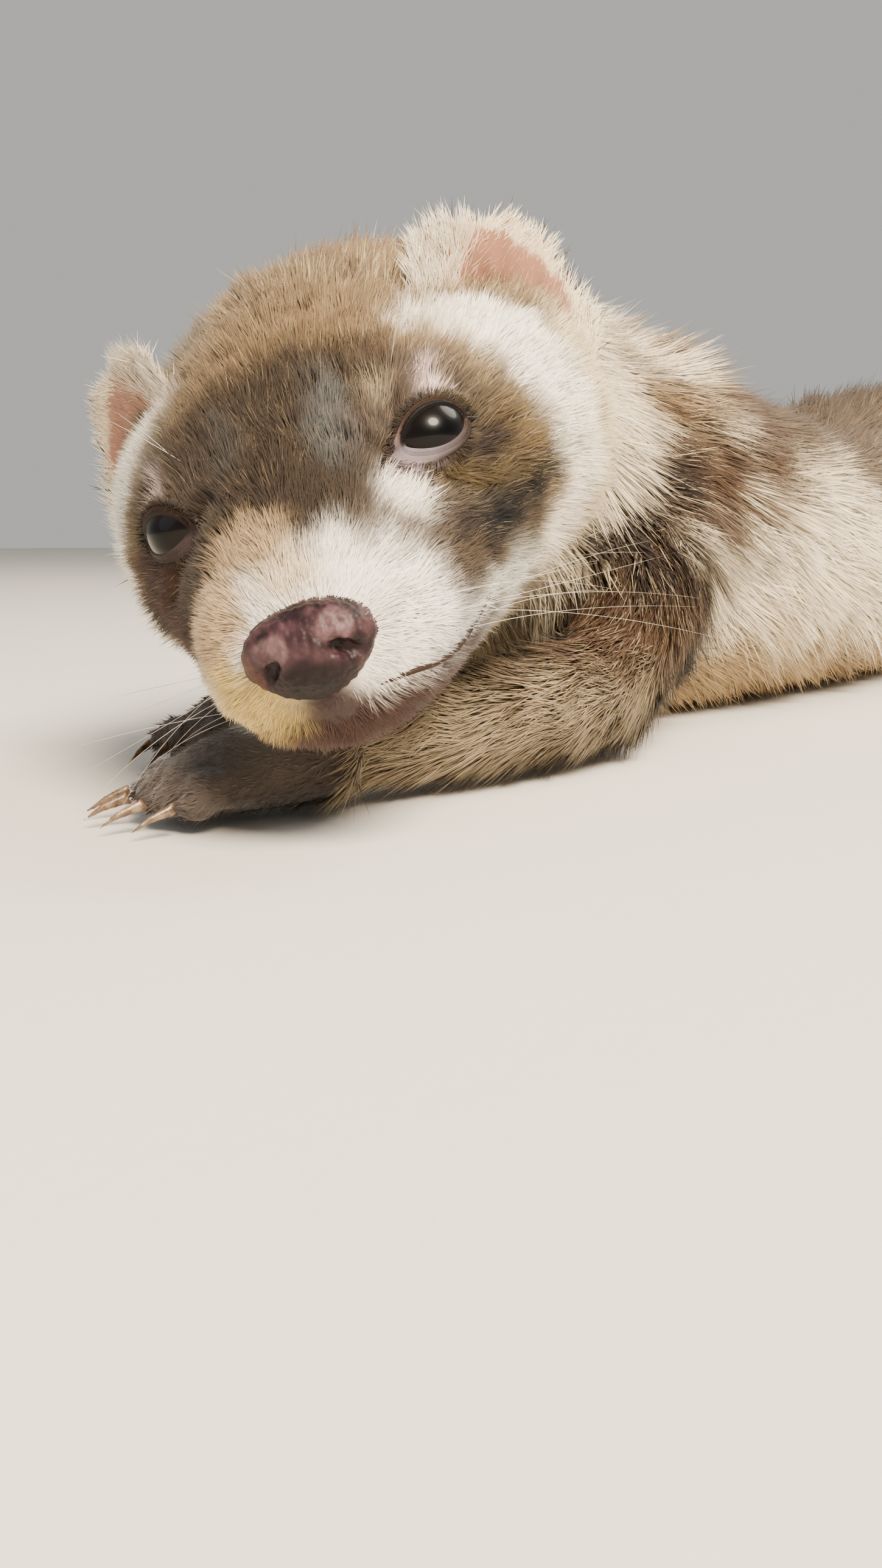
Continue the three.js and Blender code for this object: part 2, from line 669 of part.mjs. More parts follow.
const trunkNodes = [
  { name: "neck", from: 0, to: 2.4, steps: 7, sides: 28 },
  { name: "chest", from: 2.4, to: 4.4, steps: 7, sides: 28 },
  { name: "abdomen", from: 4.4, to: 6.8, steps: 8, sides: 28 },
  { name: "hips", from: 6.8, to: 9.9, steps: 10, sides: 28 },
];
for (const { name, from, to, steps, sides } of trunkNodes)
  place(name, trunkLength(from, to, steps, sides), materials.coat);
const frontGrown = trunkLength(0, 4.4, 14, 28, gap);
const rearGrown = trunkLength(4.4, 9.9, 19, 28, gap);
const tailGrown = trunkLength(9.9, 12, 7, 18, gap);
place("tail", joined([tailCore(), ...tailLocks()]), materials.coat);

const limbs = {
  foreleg_left: { pieces: [leftArm, leftForearm], body: [frontGrown, headGrown] },
  foreleg_right: { pieces: [rightArm, rightForearm], body: [frontGrown, headGrown] },
  hindleg_left: { pieces: [leftThigh, leftShank], body: [rearGrown, tailGrown] },
  hindleg_right: {
    pieces: [mirrored(leftThigh, hipMiddle), mirrored(leftShank, hipMiddle)],
    body: [rearGrown, tailGrown],
  },
};
const paws = {
  forepaw_left: { ...leftForepaw, leg: "foreleg_left" },
  forepaw_right: { ...rightForepaw, leg: "foreleg_right" },
  hindpaw_left: { ...leftHindpaw, leg: "hindleg_left", hock: leftHock },
  hindpaw_right: {
    ...mirroredPaw(leftHindpaw, hipMiddle),
    leg: "hindleg_right",
    hock: mirrored(leftHock, hipMiddle),
  },
};
const shape = { sides: 14, steps: 6 };
for (const [name, { pieces, body }] of Object.entries(limbs)) {
  const leg = joined(pieces.map((stations) => limb(stations, shape)));
  place(name, cutBy(leg, body), materials.coat);
}
for (const [name, paw] of Object.entries(paws)) {
  const { pieces, body } = limbs[paw.leg];
  const legGrown = pieces.map((stations) => limb(stations, { ...shape, grow: gap }));
  const { solid, claws } = pawPieces(paw, 0);
  const foot = paw.hock ? solid.add(limb(paw.hock, { sides: 12, steps: 4 })) : solid;
  place(name, cutBy(foot, [...body, ...legGrown]), materials.darkCoat);
  const pawGrown = pawPieces(paw, gap).solid;
  claws.forEach((claw, i) => place(`${name}_claw_${i + 1}`, cutBy(claw, [pawGrown]), materials.claw));
}

// The middle of the footprint is the origin
const footprint = new THREE.Box3().setFromObject(ferret).getCenter(vec(0, 0, 0));
ferret.position.set(-footprint.x, -footprint.y, 0);

export default ferret;
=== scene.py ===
import math

import bpy
import numpy as np
from mathutils import Matrix, Vector
from mathutils.kdtree import KDTree


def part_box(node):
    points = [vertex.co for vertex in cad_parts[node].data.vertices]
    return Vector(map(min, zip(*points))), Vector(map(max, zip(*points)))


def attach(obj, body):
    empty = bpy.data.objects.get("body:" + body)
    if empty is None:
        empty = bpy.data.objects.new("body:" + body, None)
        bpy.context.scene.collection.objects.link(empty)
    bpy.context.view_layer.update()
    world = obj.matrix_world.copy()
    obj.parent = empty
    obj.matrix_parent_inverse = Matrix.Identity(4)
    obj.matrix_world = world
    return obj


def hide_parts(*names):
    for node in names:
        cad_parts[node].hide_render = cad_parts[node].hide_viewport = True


# A sable ferret at life size. Shapes are worked out in millimetres and made in metres.

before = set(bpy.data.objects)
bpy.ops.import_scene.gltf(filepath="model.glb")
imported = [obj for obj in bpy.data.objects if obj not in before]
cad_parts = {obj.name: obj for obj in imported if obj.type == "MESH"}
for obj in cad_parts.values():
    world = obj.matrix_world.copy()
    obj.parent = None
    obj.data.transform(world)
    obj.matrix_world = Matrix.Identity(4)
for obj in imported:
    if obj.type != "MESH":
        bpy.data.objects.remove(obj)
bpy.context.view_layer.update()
print("frame loaded:", len(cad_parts), "nodes")


# small helpers

def unit(vectors):
    vectors = np.asarray(vectors, float)
    return vectors / np.maximum(np.linalg.norm(vectors, axis=-1, keepdims=True), 1e-9)


def smooth(low, high, value):
    t = np.clip((np.asarray(value, float) - low) / (high - low), 0, 1)
    return t * t * (3 - 2 * t)


def mixed(a, b, share):
    share = np.asarray(share, float)
    if max(np.ndim(a), np.ndim(b)) > share.ndim:
        share = share[..., None]
    return a + (b - a) * share


# vectors along a surface, with the part along its normals taken out
def flattened(vectors, normals):
    return vectors - normals * (vectors * normals).sum(1, keepdims=True)


# points with their second coordinate multiplied by a sign, or by one for each point
def mirrored(points, side):
    points = np.array(points, float)
    points[..., 1] *= side
    return points


# linear colour of a code, a little deeper than the code says, as the studio's light is strong
def tone(code, deeper=1.62):
    value = np.array([int(code[i:i + 2], 16) for i in (1, 3, 5)]) / 255
    return np.where(value <= 0.04045, value / 12.92, ((value + 0.055) / 1.055) ** 2.4) ** deeper


# a tone, or a pair of tones for tips and roots, painted over others by a share
def toned(base, code, share):
    if isinstance(code, tuple):
        return [toned(one, other, share) for one, other in zip(base, code)]
    if isinstance(base, str):
        base = tone(base)[None]
    return mixed(base, tone(code)[None], share)


# smooth random numbers between about -1 and 1 that change over a distance in millimetres
def waves(points, distance, seed):
    draw = np.random.default_rng(seed)
    total = np.zeros(len(points))
    for _ in range(6):
        direction = unit(draw.normal(size=3)) * 2 * math.pi / distance * draw.uniform(0.6, 1.5)
        total += np.sin(points @ direction + draw.uniform(0, 6.3))
    return total / 2.4


# values between stations on a curve through them all
def between(stations, key, at):
    places = np.array([s["at"] for s in stations], float)
    values = np.array([s[key] for s in stations], float)
    k = np.clip(np.searchsorted(places, at, side="right") - 1, 0, len(places) - 2)
    before, after = np.maximum(k - 1, 0), np.minimum(k + 2, len(places) - 1)
    span = places[k + 1] - places[k]
    t = np.clip((at - places[k]) / span, 0, 1)
    slopeA = (values[k + 1] - values[before]) / (places[k + 1] - places[before]) * span
    slopeB = (values[after] - values[k]) / (places[after] - places[k]) * span
    return ((2 * t**3 - 3 * t**2 + 1) * values[k] + (t**3 - 2 * t**2 + t) * slopeA
            + (3 * t**2 - 2 * t**3) * values[k + 1] + (t**3 - t**2) * slopeB)


def rounded(value, power):
    return np.sign(value) * np.abs(value) ** (2 / power)


# angles of even steps round a ring
def stepsRound(count):
    return np.arange(count) / count * 2 * math.pi


# faces of a grid of rings, closed round each ring
def ringFaces(rings, sides):
    i, j = np.meshgrid(np.arange(rings - 1), np.arange(sides), indexing="ij")
    a, b = i * sides + j, i * sides + (j + 1) % sides
    c, d = a + sides, b + sides
    return np.concatenate([np.stack([a, c, d], -1).reshape(-1, 3), np.stack([a, d, b], -1).reshape(-1, 3)])


# a closed tube from rings of points, each end a fan to its tip or to the ring's middle
def loft(rings, startTip=None, endTip=None):
    rings = np.asarray(rings, float)
    count, sides = rings.shape[:2]
    startTip = rings[0].mean(0) if startTip is None else startTip
    endTip = rings[-1].mean(0) if endTip is None else endTip
    points = np.concatenate([rings.reshape(-1, 3), [startTip], [endTip]])
    j = np.arange(sides)
    after, last, first = (j + 1) % sides, (count - 1) * sides, count * sides
    caps = [np.stack([np.full(sides, first), j, after], -1),
            np.stack([np.full(sides, first + 1), last + after, last + j], -1)]
    faces = np.concatenate([ringFaces(count, sides), *caps])
    a, b, c = points[faces.T]
    if np.einsum("ij,ij->i", a, np.cross(b, c)).sum() < 0:
        faces = faces[:, ::-1]
    return points, faces


def joinedShapes(shapes):
    starts = np.cumsum([0] + [len(p) for p, _ in shapes])
    return (np.concatenate([p for p, _ in shapes]),
            np.concatenate([f + start for (_, f), start in zip(shapes, starts)]))


def vertexNormals(points, faces):
    a, b, c = points[faces.T]
    flat = np.cross(b - a, c - a)
    total = np.zeros_like(points)
    for k in range(3):
        for axis in range(3):
            total[:, axis] += np.bincount(faces[:, k], flat[:, axis], len(points))
    return unit(total)


def edgesOf(faces, count):
    pairs = np.sort(np.concatenate([faces[:, [0, 1]], faces[:, [1, 2]], faces[:, [2, 0]]]), axis=1)
    codes = np.unique(pairs[:, 0].astype(np.int64) * count + pairs[:, 1])
    return np.stack([codes // count, codes % count], -1)


# each value moves towards the mean of its neighbours on the mesh
def relaxed(values, edges, amount, rounds):
    values = np.array(values, float).reshape(len(values), -1)
    count = len(values)
    degree = np.bincount(edges.ravel(), minlength=count)[:, None].clip(1)
    amount = np.broadcast_to(amount, (count,))[:, None]
    one, other = edges.T
    for _ in range(rounds):
        total = np.stack([np.bincount(one, column[other], count) + np.bincount(other, column[one], count)
                          for column in values.T], -1)
        values += amount * (total / degree - values)
    return values


def treeOf(points):
    tree = KDTree(len(points))
    for i, p in enumerate(points):
        tree.insert(p, i)
    tree.balance()
    return tree


def nearestIn(tree, places):
    return np.array([tree.find(p)[1] for p in places])


def makeMesh(name, points, faces, scale=0.001):
    mesh = bpy.data.meshes.new(name)
    mesh.vertices.add(len(points))
    mesh.vertices.foreach_set("co", (np.asarray(points, float) * scale).astype(np.float32).ravel())
    mesh.loops.add(len(faces) * 3)
    mesh.loops.foreach_set("vertex_index", np.ascontiguousarray(faces).astype(np.int32).ravel())
    mesh.polygons.add(len(faces))
    mesh.polygons.foreach_set("loop_start", np.arange(0, len(faces) * 3, 3, dtype=np.int32))
    mesh.update(calc_edges=True)
    mesh.shade_smooth()
    return mesh


def newObject(name, data):
    made = bpy.data.objects.new(name, data)
    bpy.context.scene.collection.objects.link(made)
    return made


def makePiece(name, points, faces, material, slot, replaced=()):
    piece = newObject(name, makeMesh(name, points, faces))
    piece.data.materials.append(material)
    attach(piece, "root")
    if replaced:
        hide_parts(*replaced)
    return piece


def setColour(mesh, name, colours):
    layer = mesh.color_attributes.new(name, "FLOAT_COLOR", "POINT")
    full = np.concatenate([np.clip(colours, 0, 1), np.ones((len(colours), 1))], 1).astype(np.float32)
    layer.data.foreach_set("color", full.ravel())


def setNumber(mesh, name, numbers):
    layer = mesh.attributes.new(name, "FLOAT", "POINT")
    layer.data.foreach_set("value", np.asarray(numbers, np.float32))


def setUnwrap(mesh, cornerPlaces):
    layer = mesh.uv_layers.new(name="OFBake")
    layer.uv.foreach_set("vector", np.clip(cornerPlaces, 0, 1).astype(np.float32).ravel())


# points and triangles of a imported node, in millimetres, with doubled corners merged
def nodeShape(name):
    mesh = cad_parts[name].data
    points = np.empty(len(mesh.vertices) * 3, np.float32)
    mesh.vertices.foreach_get("co", points)
    points = points.reshape(-1, 3).astype(float) * 1000
    mesh.calc_loop_triangles()
    faces = np.empty(len(mesh.loop_triangles) * 3, np.int32)
    mesh.loop_triangles.foreach_get("vertices", faces)
    _, first, merged = np.unique(np.round(points, 3), axis=0, return_index=True, return_inverse=True)
    faces = merged.ravel()[faces.reshape(-1, 3)]
    kept = (faces[:, 0] != faces[:, 1]) & (faces[:, 1] != faces[:, 2]) & (faces[:, 0] != faces[:, 2])
    return points[first], faces[kept]


# one even closed surface round all the shapes together
def remeshed(points, faces, voxel):
    work = newObject("work", makeMesh("work", points, faces, scale=1))
    remesh = work.modifiers.new("even", "REMESH")
    remesh.mode, remesh.voxel_size, remesh.adaptivity = "VOXEL", voxel, 0
    graph = bpy.context.evaluated_depsgraph_get()
    made = bpy.data.meshes.new_from_object(work.evaluated_get(graph))
    newPoints = np.empty(len(made.vertices) * 3, np.float32)
    made.vertices.foreach_get("co", newPoints)
    made.calc_loop_triangles()
    newFaces = np.empty(len(made.loop_triangles) * 3, np.int32)
    made.loop_triangles.foreach_get("vertices", newFaces)
    bpy.data.objects.remove(work)
    bpy.data.meshes.remove(made)
    return newPoints.reshape(-1, 3).astype(float), newFaces.reshape(-1, 3)


# shader helper: a socket that does sums

class Shade:
    def __init__(self, tree, socket=None):
        self.tree, self.socket = tree, socket

    def node(self, kind, settings=None, inputs=None, output=0):
        made = self.tree.nodes.new(kind)
        for key, value in (settings or {}).items():
            if key == "stops":
                ramp = made.color_ramp
                while len(ramp.elements) < len(value):
                    ramp.elements.new(0.5)
                for element, (place, colour) in zip(ramp.elements, value):
                    element.position = place
                    element.color = (*colour, 1)
            else:
                setattr(made, key, value)
        for key, value in (inputs or {}).items():
            if isinstance(value, Shade):
                self.tree.links.new(value.socket, made.inputs[key])
            else:
                made.inputs[key].default_value = value
        return Shade(self.tree, made.outputs[output])

    def sum(self, operation, a, b):
        return self.node("ShaderNodeMath", {"operation": operation}, {0: a, 1: b})

    def __add__(self, other):
        return self.sum("ADD", self, other)

    def __mul__(self, other):
        return self.sum("MULTIPLY", self, other)

    def __rsub__(self, other):
        return self.sum("SUBTRACT", other, self)

    __radd__ = __add__
    __rmul__ = __mul__

    # colours: this one towards another by a share, and this one made lighter or darker by a number
    def towards(self, colour, share):
        inputs = {"Factor": share, 6: self, 7: (*colour, 1)}
        return self.node("ShaderNodeMix", {"data_type": "RGBA"}, inputs, 2)

    def brighter(self, amount):
        return self.node("ShaderNodeVectorMath", {"operation": "SCALE"}, {0: self, "Scale": amount})

    def place(self):
        return self.node("ShaderNodeTexCoord", output="Object")

    def noise(self, distance, detail=3, roughness=0.55):
        return self.node("ShaderNodeTexNoise", None, {
            "Vector": self.place(), "Scale": 1000 / distance, "Detail": detail, "Roughness": roughness})

    def ramp(self, factor, *stops):
        stops = [(place, tone(code)) for place, code in stops]
        return self.node("ShaderNodeValToRGB", {"stops": stops}, {"Fac": factor})

    def painted(self, name):
        return self.node("ShaderNodeAttribute", {"attribute_name": name}, output="Color")

    def numbered(self, name):
        return self.node("ShaderNodeAttribute", {"attribute_name": name}, output="Fac")

    def bump(self, height, strength, distance):
        return self.node("ShaderNodeBump", None, {
            "Height": height, "Strength": strength, "Distance": distance * 0.001})


def newMaterial(name, constants):
    material = bpy.data.materials.new(name)
    material.use_nodes = True
    tree = material.node_tree
    shader = tree.nodes["Principled BSDF"]
    for key, value in constants.items():
        shader.inputs[key].default_value = value
    return material, Shade(tree), lambda key, made: tree.links.new(made.socket, shader.inputs[key])


# a finish that takes its tone from the mesh, with patches and a fine relief: each patch is an
# amount and its noise, and the relief is shares of noises, then the bump's strength and distance
def softFinish(name, attribute, constants, level, patches, relief, bump):
    material, shade, link = newMaterial(name, constants)
    light, height = level, 0
    for amount, *noise in patches:
        light = light + amount * shade.noise(*noise)
    for share, *noise in relief:
        height = height + share * shade.noise(*noise)
    link("Base Color", shade.painted(attribute).brighter(light))
    link("Normal", shade.bump(height, *bump))
    return material


# where the head is, from the eyes' places in the frame

headPose = {
    "turn": 29,  # degrees, as in the solids
    "drop": 13,
    "tilt": 20.5,
    "eyeMiddle": (21.7, 0, 4.6),  # between the eyes, in the head's own frame
    "above": 36.5,  # height of the head's frame over the floor
}


def boxMiddle(name):
    low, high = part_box(name)
    return np.array((Vector(low) + Vector(high)) / 2) * 1000


def turnedBy(key, axis):
    return Matrix.Rotation(math.radians(headPose[key]), 3, axis)


headTurned = np.array(turnedBy("turn", "Z") @ turnedBy("drop", "Y") @ turnedBy("tilt", "X"))
headMiddle = (boxMiddle("eye_left") + boxMiddle("eye_right")) / 2
headMiddle = headMiddle - headTurned @ np.array(headPose["eyeMiddle"])
shift = headMiddle - np.array([0, 0, headPose["above"]])


def fromHead(points):
    return np.asarray(points, float) @ headTurned.T + headMiddle


def toHead(points):
    return (np.asarray(points, float) - headMiddle) @ headTurned


# camera and light

view = {
    "place": (137.9, 105.8, -6.5),  # from the middle of the head, in millimetres
    "heading": (-0.83, -0.56),
    "down": 9.5,  # degrees
    "lens": 36 * 2400 / 2576,
}


def makeCamera():
    data = bpy.data.cameras.new("camera")
    data.lens, data.sensor_width = view["lens"], 36
    data.clip_start, data.clip_end = 0.005, 50
    camera = newObject("camera", data)
    camera.location = Vector((headMiddle + np.array(view["place"])) * 0.001)
    level = Vector((*view["heading"], 0)).normalized()
    down = math.radians(view["down"])
    forward = level * math.cos(down) - Vector((0, 0, 1)) * math.sin(down)
    camera.rotation_mode = "QUATERNION"
    camera.rotation_quaternion = forward.to_track_quat("-Z", "Y")
    bpy.context.scene.camera = camera


makeCamera()

studio = {
    "floorTone": "#e9e6e1",
    "worldTone": "#f2f1ee",
    "worldStrength": 0.62,
    "lights": [  # name, from the head in metres, size, watts, colour
        ("keyLight", (0.5, 0.85, 0.95), 0.6, 76, "#fff4e4"),
        ("fillLight", (1.0, -0.45, 0.5), 1.0, 2.5, "#eef3ff"),
        ("rimLight", (-0.75, 0.35, 0.9), 0.7, 12, "#fff8ee"),
    ],
}


def makeStudio():
    size = 4000
    points = np.array([[-size, -size, 0], [size, -size, 0], [size, size, 0], [-size, size, 0]])
    floor = newObject("floor", makeMesh("floor", points, np.array([[0, 1, 2], [0, 2, 3]])))
    material, shade, link = newMaterial("paleFloor", {"Roughness": 0.75, "Specular IOR Level": 0.25})
    grain = shade.noise(60, 4)
    pale = tone(studio["floorTone"])
    stops = [(0.2, pale * 0.97), (0.8, pale)]
    link("Base Color", shade.node("ShaderNodeValToRGB", {"stops": stops}, {"Fac": grain}))
    link("Normal", shade.bump(shade.noise(3, 4), 0.15, 0.4))
    floor.data.materials.append(material)
    world = bpy.data.worlds.new("studio")
    world.use_nodes = True
    background = world.node_tree.nodes["Background"]
    background.inputs["Color"].default_value = (*tone(studio["worldTone"]), 1)
    background.inputs["Strength"].default_value = studio["worldStrength"]
    bpy.context.scene.world = world
    for name, place, size, watts, colour in studio["lights"]:
        data = bpy.data.lights.new(name, "AREA")
        data.shape, data.size, data.energy, data.color = "DISK", size, watts, tone(colour)
        lamp = newObject(name, data)
        lamp.location = Vector(headMiddle * 0.001) + Vector(place)
        lamp.rotation_mode = "QUATERNION"
        lamp.rotation_quaternion = (-Vector(place)).to_track_quat("-Z", "Y")


makeStudio()
print("camera and studio ready")


# shape of the head, the same sections as the solids

headShape = {
    "stations": [dict(zip(("at", "half", "top", "bottom", "power"), row)) for row in [
        (-25, 27.5, 25.5, 21.5, 2.15),
        (-14, 30.8, 25.8, 22, 2.18),
        (-3, 30.2, 25, 22, 2.2),
        (8, 26.8, 21.6, 21.2, 2.2),
        (17, 22.4, 17, 20.4, 2.2),
        (25, 18, 11.4, 19.8, 2.2),
        (32, 14.8, 6.4, 19.4, 2.35),
        (38, 12.6, 2.5, 18.6, 2.4),
        (42, 10.4, -0.6, 17.2, 2.3),
        (44.6, 7.4, -2.8, 15.3, 2.2),
        (45.9, 3.4, -5.2, 12.7, 2),
    ]],
    "forms": [  # place, spread, height: swellings and hollows on both sides
        ((-5, 28, -9), (14, 9, 10), 1.4),
        ((38, 10, -8.8), (5.5, 4, 3.6), 1.1),
        ((21, 12, 12), (6, 4.5, 3.5), 0.8),
        ((31, 12, -0.5), (4, 4, 4), -0.9),
        ((11, 22, 9), (6, 5, 5), -1),
        ((-2, 17, 19), (14, 8.5, 8), -3.1),
        ((33, 0, 6), (6, 7, 3), -0.7),
        ((41, 0, -17.2), (3.5, 4.5, 2.5), 0.7),
    ],
    "rings": 80,
    "sides": 120,
}


def headSide(at, z):
    half, top, bottom, power = (between(headShape["stations"], key, np.array([at]))[0]
                                for key in ("half", "top", "bottom", "power"))
    high = abs((z - (top - bottom) / 2) / ((top + bottom) / 2))
    return half * (1 - high**power) ** (1 / power)


# a soft swelling or hollow round a place, the same on both sides of the head
def swelling(points, place, spread, height):
    seen = mirrored(points, np.sign(points[..., 1]))
    return height * np.exp(-sum(((seen[..., k] - place[k]) / spread[k]) ** 2 for k in range(3)))


def headForm():
    stations, rings, sides = headShape["stations"], headShape["rings"], headShape["sides"]
    back, front = stations[0]["at"], stations[-1]["at"]
    at = (front - (front - back) * (np.arange(rings + 1) / rings) ** 1.25)[:, None]
    angle = stepsRound(sides)[None, :]
    half, top, bottom, power = (between(stations, key, at) for key in ("half", "top", "bottom", "power"))
    middle, high = (top - bottom) / 2, (top + bottom) / 2
    c, s = rounded(np.cos(angle), power), rounded(np.sin(angle), power)
    points = np.stack([at + 0 * angle, half * c, middle + high * s], -1)
    out = unit(np.stack([0.35 * smooth(30, 46, at) + 0 * c, 12 * c / half, 12 * s / high], -1))
    lift = sum(swelling(points, *form) for form in headShape["forms"])
    points = points + out * lift[..., None]
    tip = [front + 0.5, 0, (stations[-1]["top"] - stations[-1]["bottom"]) / 2]
    return loft(points, tip, [back - 14, 0, 0])


# the spine and the limbs, as paths that the coat follows

paths = {
    "spine": [(-42, -15, 39), (-62, -18, 35), (-84, -17, 32.5), (-112, -14, 31), (-146, -12, 30.5),
              (-180, -12, 30.5), (-214, -11, 31), (-246, -7, 31), (-276, 0, 28), (-299, 8.5, 20.5),
              (-324, 20, 14.5), (-356, 34, 13), (-390, 43, 11.8), (-416, 45, 9.2), (-425, 45.4, 8)],
    "foreleg_left": [(-78, -2, 32), (-60, 7, 22), (-43, 13, 12), (-20, 13, 9), (8, 6.5, 7.4), (30, -6, 5)],
    "foreleg_right": [(-84, -34, 32), (-71, -41, 22), (-58, -46, 12), (-42, -40, 9), (-25, -32, 7.4),
                      (0, -26, 5)],
    "hindleg_left": [(-264, 13, 34), (-246, 20, 28), (-226, 25, 22), (-213, 30, 15), (-237, 34, 12),
                     (-259, 33, 9.5)],
}
paths["hindleg_right"] = [(x, -12 - y, z) for x, y, z in paths["hindleg_left"]]

tailFlesh = [  # place and radius of the tail under its coat
    ((-262, -4, 30), 22), ((-278, 0, 25), 17), ((-299, 8.5, 17.5), 10.5), ((-324, 20, 11), 7.4),
    ((-356, 34, 9.6), 6.2), ((-390, 43, 8.2), 4.8), ((-412, 45, 6.8), 3.2), ((-421, 45.4, 6.2), 1.8),
]

coatDepth = {  # from the tips of the hair down to the skin, by node
    "neck": 4.6, "chest": 5, "abdomen": 5, "hips": 5, "tail": 6,
    "foreleg": 2.6, "hindleg": 3.4, "forepaw": 0.8, "hindpaw": 0.8,
    "headPlaces": [-25, -10, 5, 20, 32, 45],
    "head": [4.4, 3.2, 2.4, 1.7, 1.25, 0.8],
}

fleshNodes = ["head", "neck", "chest", "abdomen", "hips", "tail",
              "foreleg_left", "foreleg_right", "hindleg_left", "hindleg_right",
              "forepaw_left", "forepaw_right", "hindpaw_left", "hindpaw_right"]
headLabel = fleshNodes.index("head")
nodeKinds = np.array([name.split("_")[0] for name in fleshNodes])
pawKinds = ("forepaw", "hindpaw")


def curveThrough(points, count):
    points = np.asarray(points, float)
    stations = [dict(at=i, x=p[0], y=p[1], z=p[2]) for i, p in enumerate(points)]
    at = np.linspace(0, len(points) - 1, count)
    return np.stack([between(stations, key, at) for key in "xyz"], -1)


def tubeAlong(points, radii, sides):
    ahead = unit(np.gradient(points, axis=0))
    across = unit(np.cross([0, 0, 1], ahead))
    up = np.cross(ahead, across)
    angle = stepsRound(sides)
    radii = np.asarray(radii, float)[:, None, None]
    rings = points[:, None] + radii * (across[:, None] * np.cos(angle)[None, :, None]
                                       + up[:, None] * np.sin(angle)[None, :, None])
    return loft(rings)


def labelTree():
    middles, labels = [], []
    for label, name in enumerate(fleshNodes):
        points, faces = nodeShape(name)
        middles.append(points[faces].mean(1))
        labels += [label] * len(faces)
    return treeOf(np.concatenate(middles)), np.array(labels)


nodeTree, nodeLabels = labelTree()


def labelsAt(points):
    return nodeLabels[nearestIn(nodeTree, points)]


def depthOf(points, labels):
    depth = np.zeros(len(points))
    for label, kind in enumerate(nodeKinds):
        mask = labels == label
        if kind == "head":
            depth[mask] = np.interp(toHead(points[mask])[:, 0], coatDepth["headPlaces"], coatDepth["head"])
        else:
            depth[mask] = coatDepth[kind]
    return depth


def grownNode(name, amount):
    points, faces = nodeShape(name)
    return points + amount * vertexNormals(points, faces), faces


skinRules = {  # millimetres, shares and rounds
    "grown": 0.25,  # the nodes overlap by this, so that they melt into one
    "voxel": 1.1,
    "fineVoxel": 0.85,
    "smoothing": {"head": 0.12, "paws": 0.1, "other": 0.5},
    "rounds": 26,
    "pawsIn": -0.35,  # the paws again, after the smoothing, to keep their toes
}


def skinForm():
    head = headForm()
    shapes = [(fromHead(head[0]), head[1])]
    shapes += [grownNode(name, skinRules["grown"]) for name in fleshNodes if name not in ("head", "tail")]
    points, faces = remeshed(*joinedShapes(shapes), skinRules["voxel"])
    labels = labelsAt(points)
    edges = edgesOf(faces, len(points))
    kinds = nodeKinds[labels]
    amounts = skinRules["smoothing"]
    ease = np.select([kinds == "head", np.isin(kinds, pawKinds)], [amounts["head"], amounts["paws"]],
                     amounts["other"])
    ease = relaxed(ease, edges, 0.5, 8)[:, 0]
    points = relaxed(points, edges, ease, skinRules["rounds"])
    depth = relaxed(depthOf(points, labels), edges, 0.5, 25)
    normals = unit(relaxed(vertexNormals(points, faces), edges, 0.5, 3))
    points = points - normals * depth
    flesh = curveThrough([p for p, _ in tailFlesh], 60) + shift
    stations = np.arange(len(tailFlesh))
    radii = np.interp(np.linspace(0, stations[-1], 60), stations, [r for _, r in tailFlesh])
    paws = [grownNode(name, skinRules["pawsIn"]) for name in fleshNodes if "paw" in name]
    whole = joinedShapes([(points, faces), tubeAlong(flesh, radii, 28), *paws])
    points, faces = remeshed(*whole, skinRules["fineVoxel"])
    edges = edgesOf(faces, len(points))
    points = relaxed(points, edges, 0.4, 4)
    return points, faces, edges


skinPoints, skinFaces, skinEdges = skinForm()
print("skin form:", len(skinFaces), "triangles")


# eyes and lids

eyeShape = {
    "radius": 4.1,
    "inset": 0.1,  # the ball as it is shown is this much smaller
    "bulge": 0.28,  # of the cornea
    "wider": 1.13,  # the ball along the lids, over its height
    "place": (21.6, 13.3, 4.3),
    "gaze": (0.8, 0.57, 0.1),
    "half": 5.3,  # of the opening along the lids, then above and below their corners
    "high": 3.2,
    "low": 1.5,
    "slant": -1,
    "pointed": 0.3,
    "lidWidth": 3.4,  # how far the lids reach over the skin
    "open": 1.15,  # the skin is cut back to here, in openings
    "reach": 9,  # the skin is worked on as far from the middle of the ball
}


def eyeAxes():
    gaze = unit(eyeShape["gaze"])
    flat = unit(np.cross([0, 0, 1], gaze))
    upright = np.cross(gaze, flat)
    slant = math.radians(eyeShape["slant"])
    along = flat * math.cos(slant) + upright * math.sin(slant)
    return np.stack([gaze, along, np.cross(gaze, along)], -1)


eyeTurned = eyeAxes()
eyeStretch = np.array([1, eyeShape["wider"], 1])


def fromEye(points, side):
    inHead = (np.asarray(points) * eyeStretch) @ eyeTurned.T + np.array(eyeShape["place"])
    return fromHead(mirrored(inHead, side))


def toEye(points, side):
    return (mirrored(toHead(points), side) - np.array(eyeShape["place"])) @ eyeTurned / eyeStretch


# how far a direction is out from the middle of the opening: 1 on the edge of the lids
def openingAt(directions):
    ahead = np.maximum(directions[:, 0], 0.05)
    u = directions[:, 1] / ahead * eyeShape["radius"] / eyeShape["half"]
    v = directions[:, 2] / ahead * eyeShape["radius"]
    v = np.where(v > 0, v / eyeShape["high"], -v / eyeShape["low"])
    return np.where(directions[:, 0] > 0.05, np.sqrt(u * u + v ** (2 / (1 + eyeShape["pointed"]))), 9)


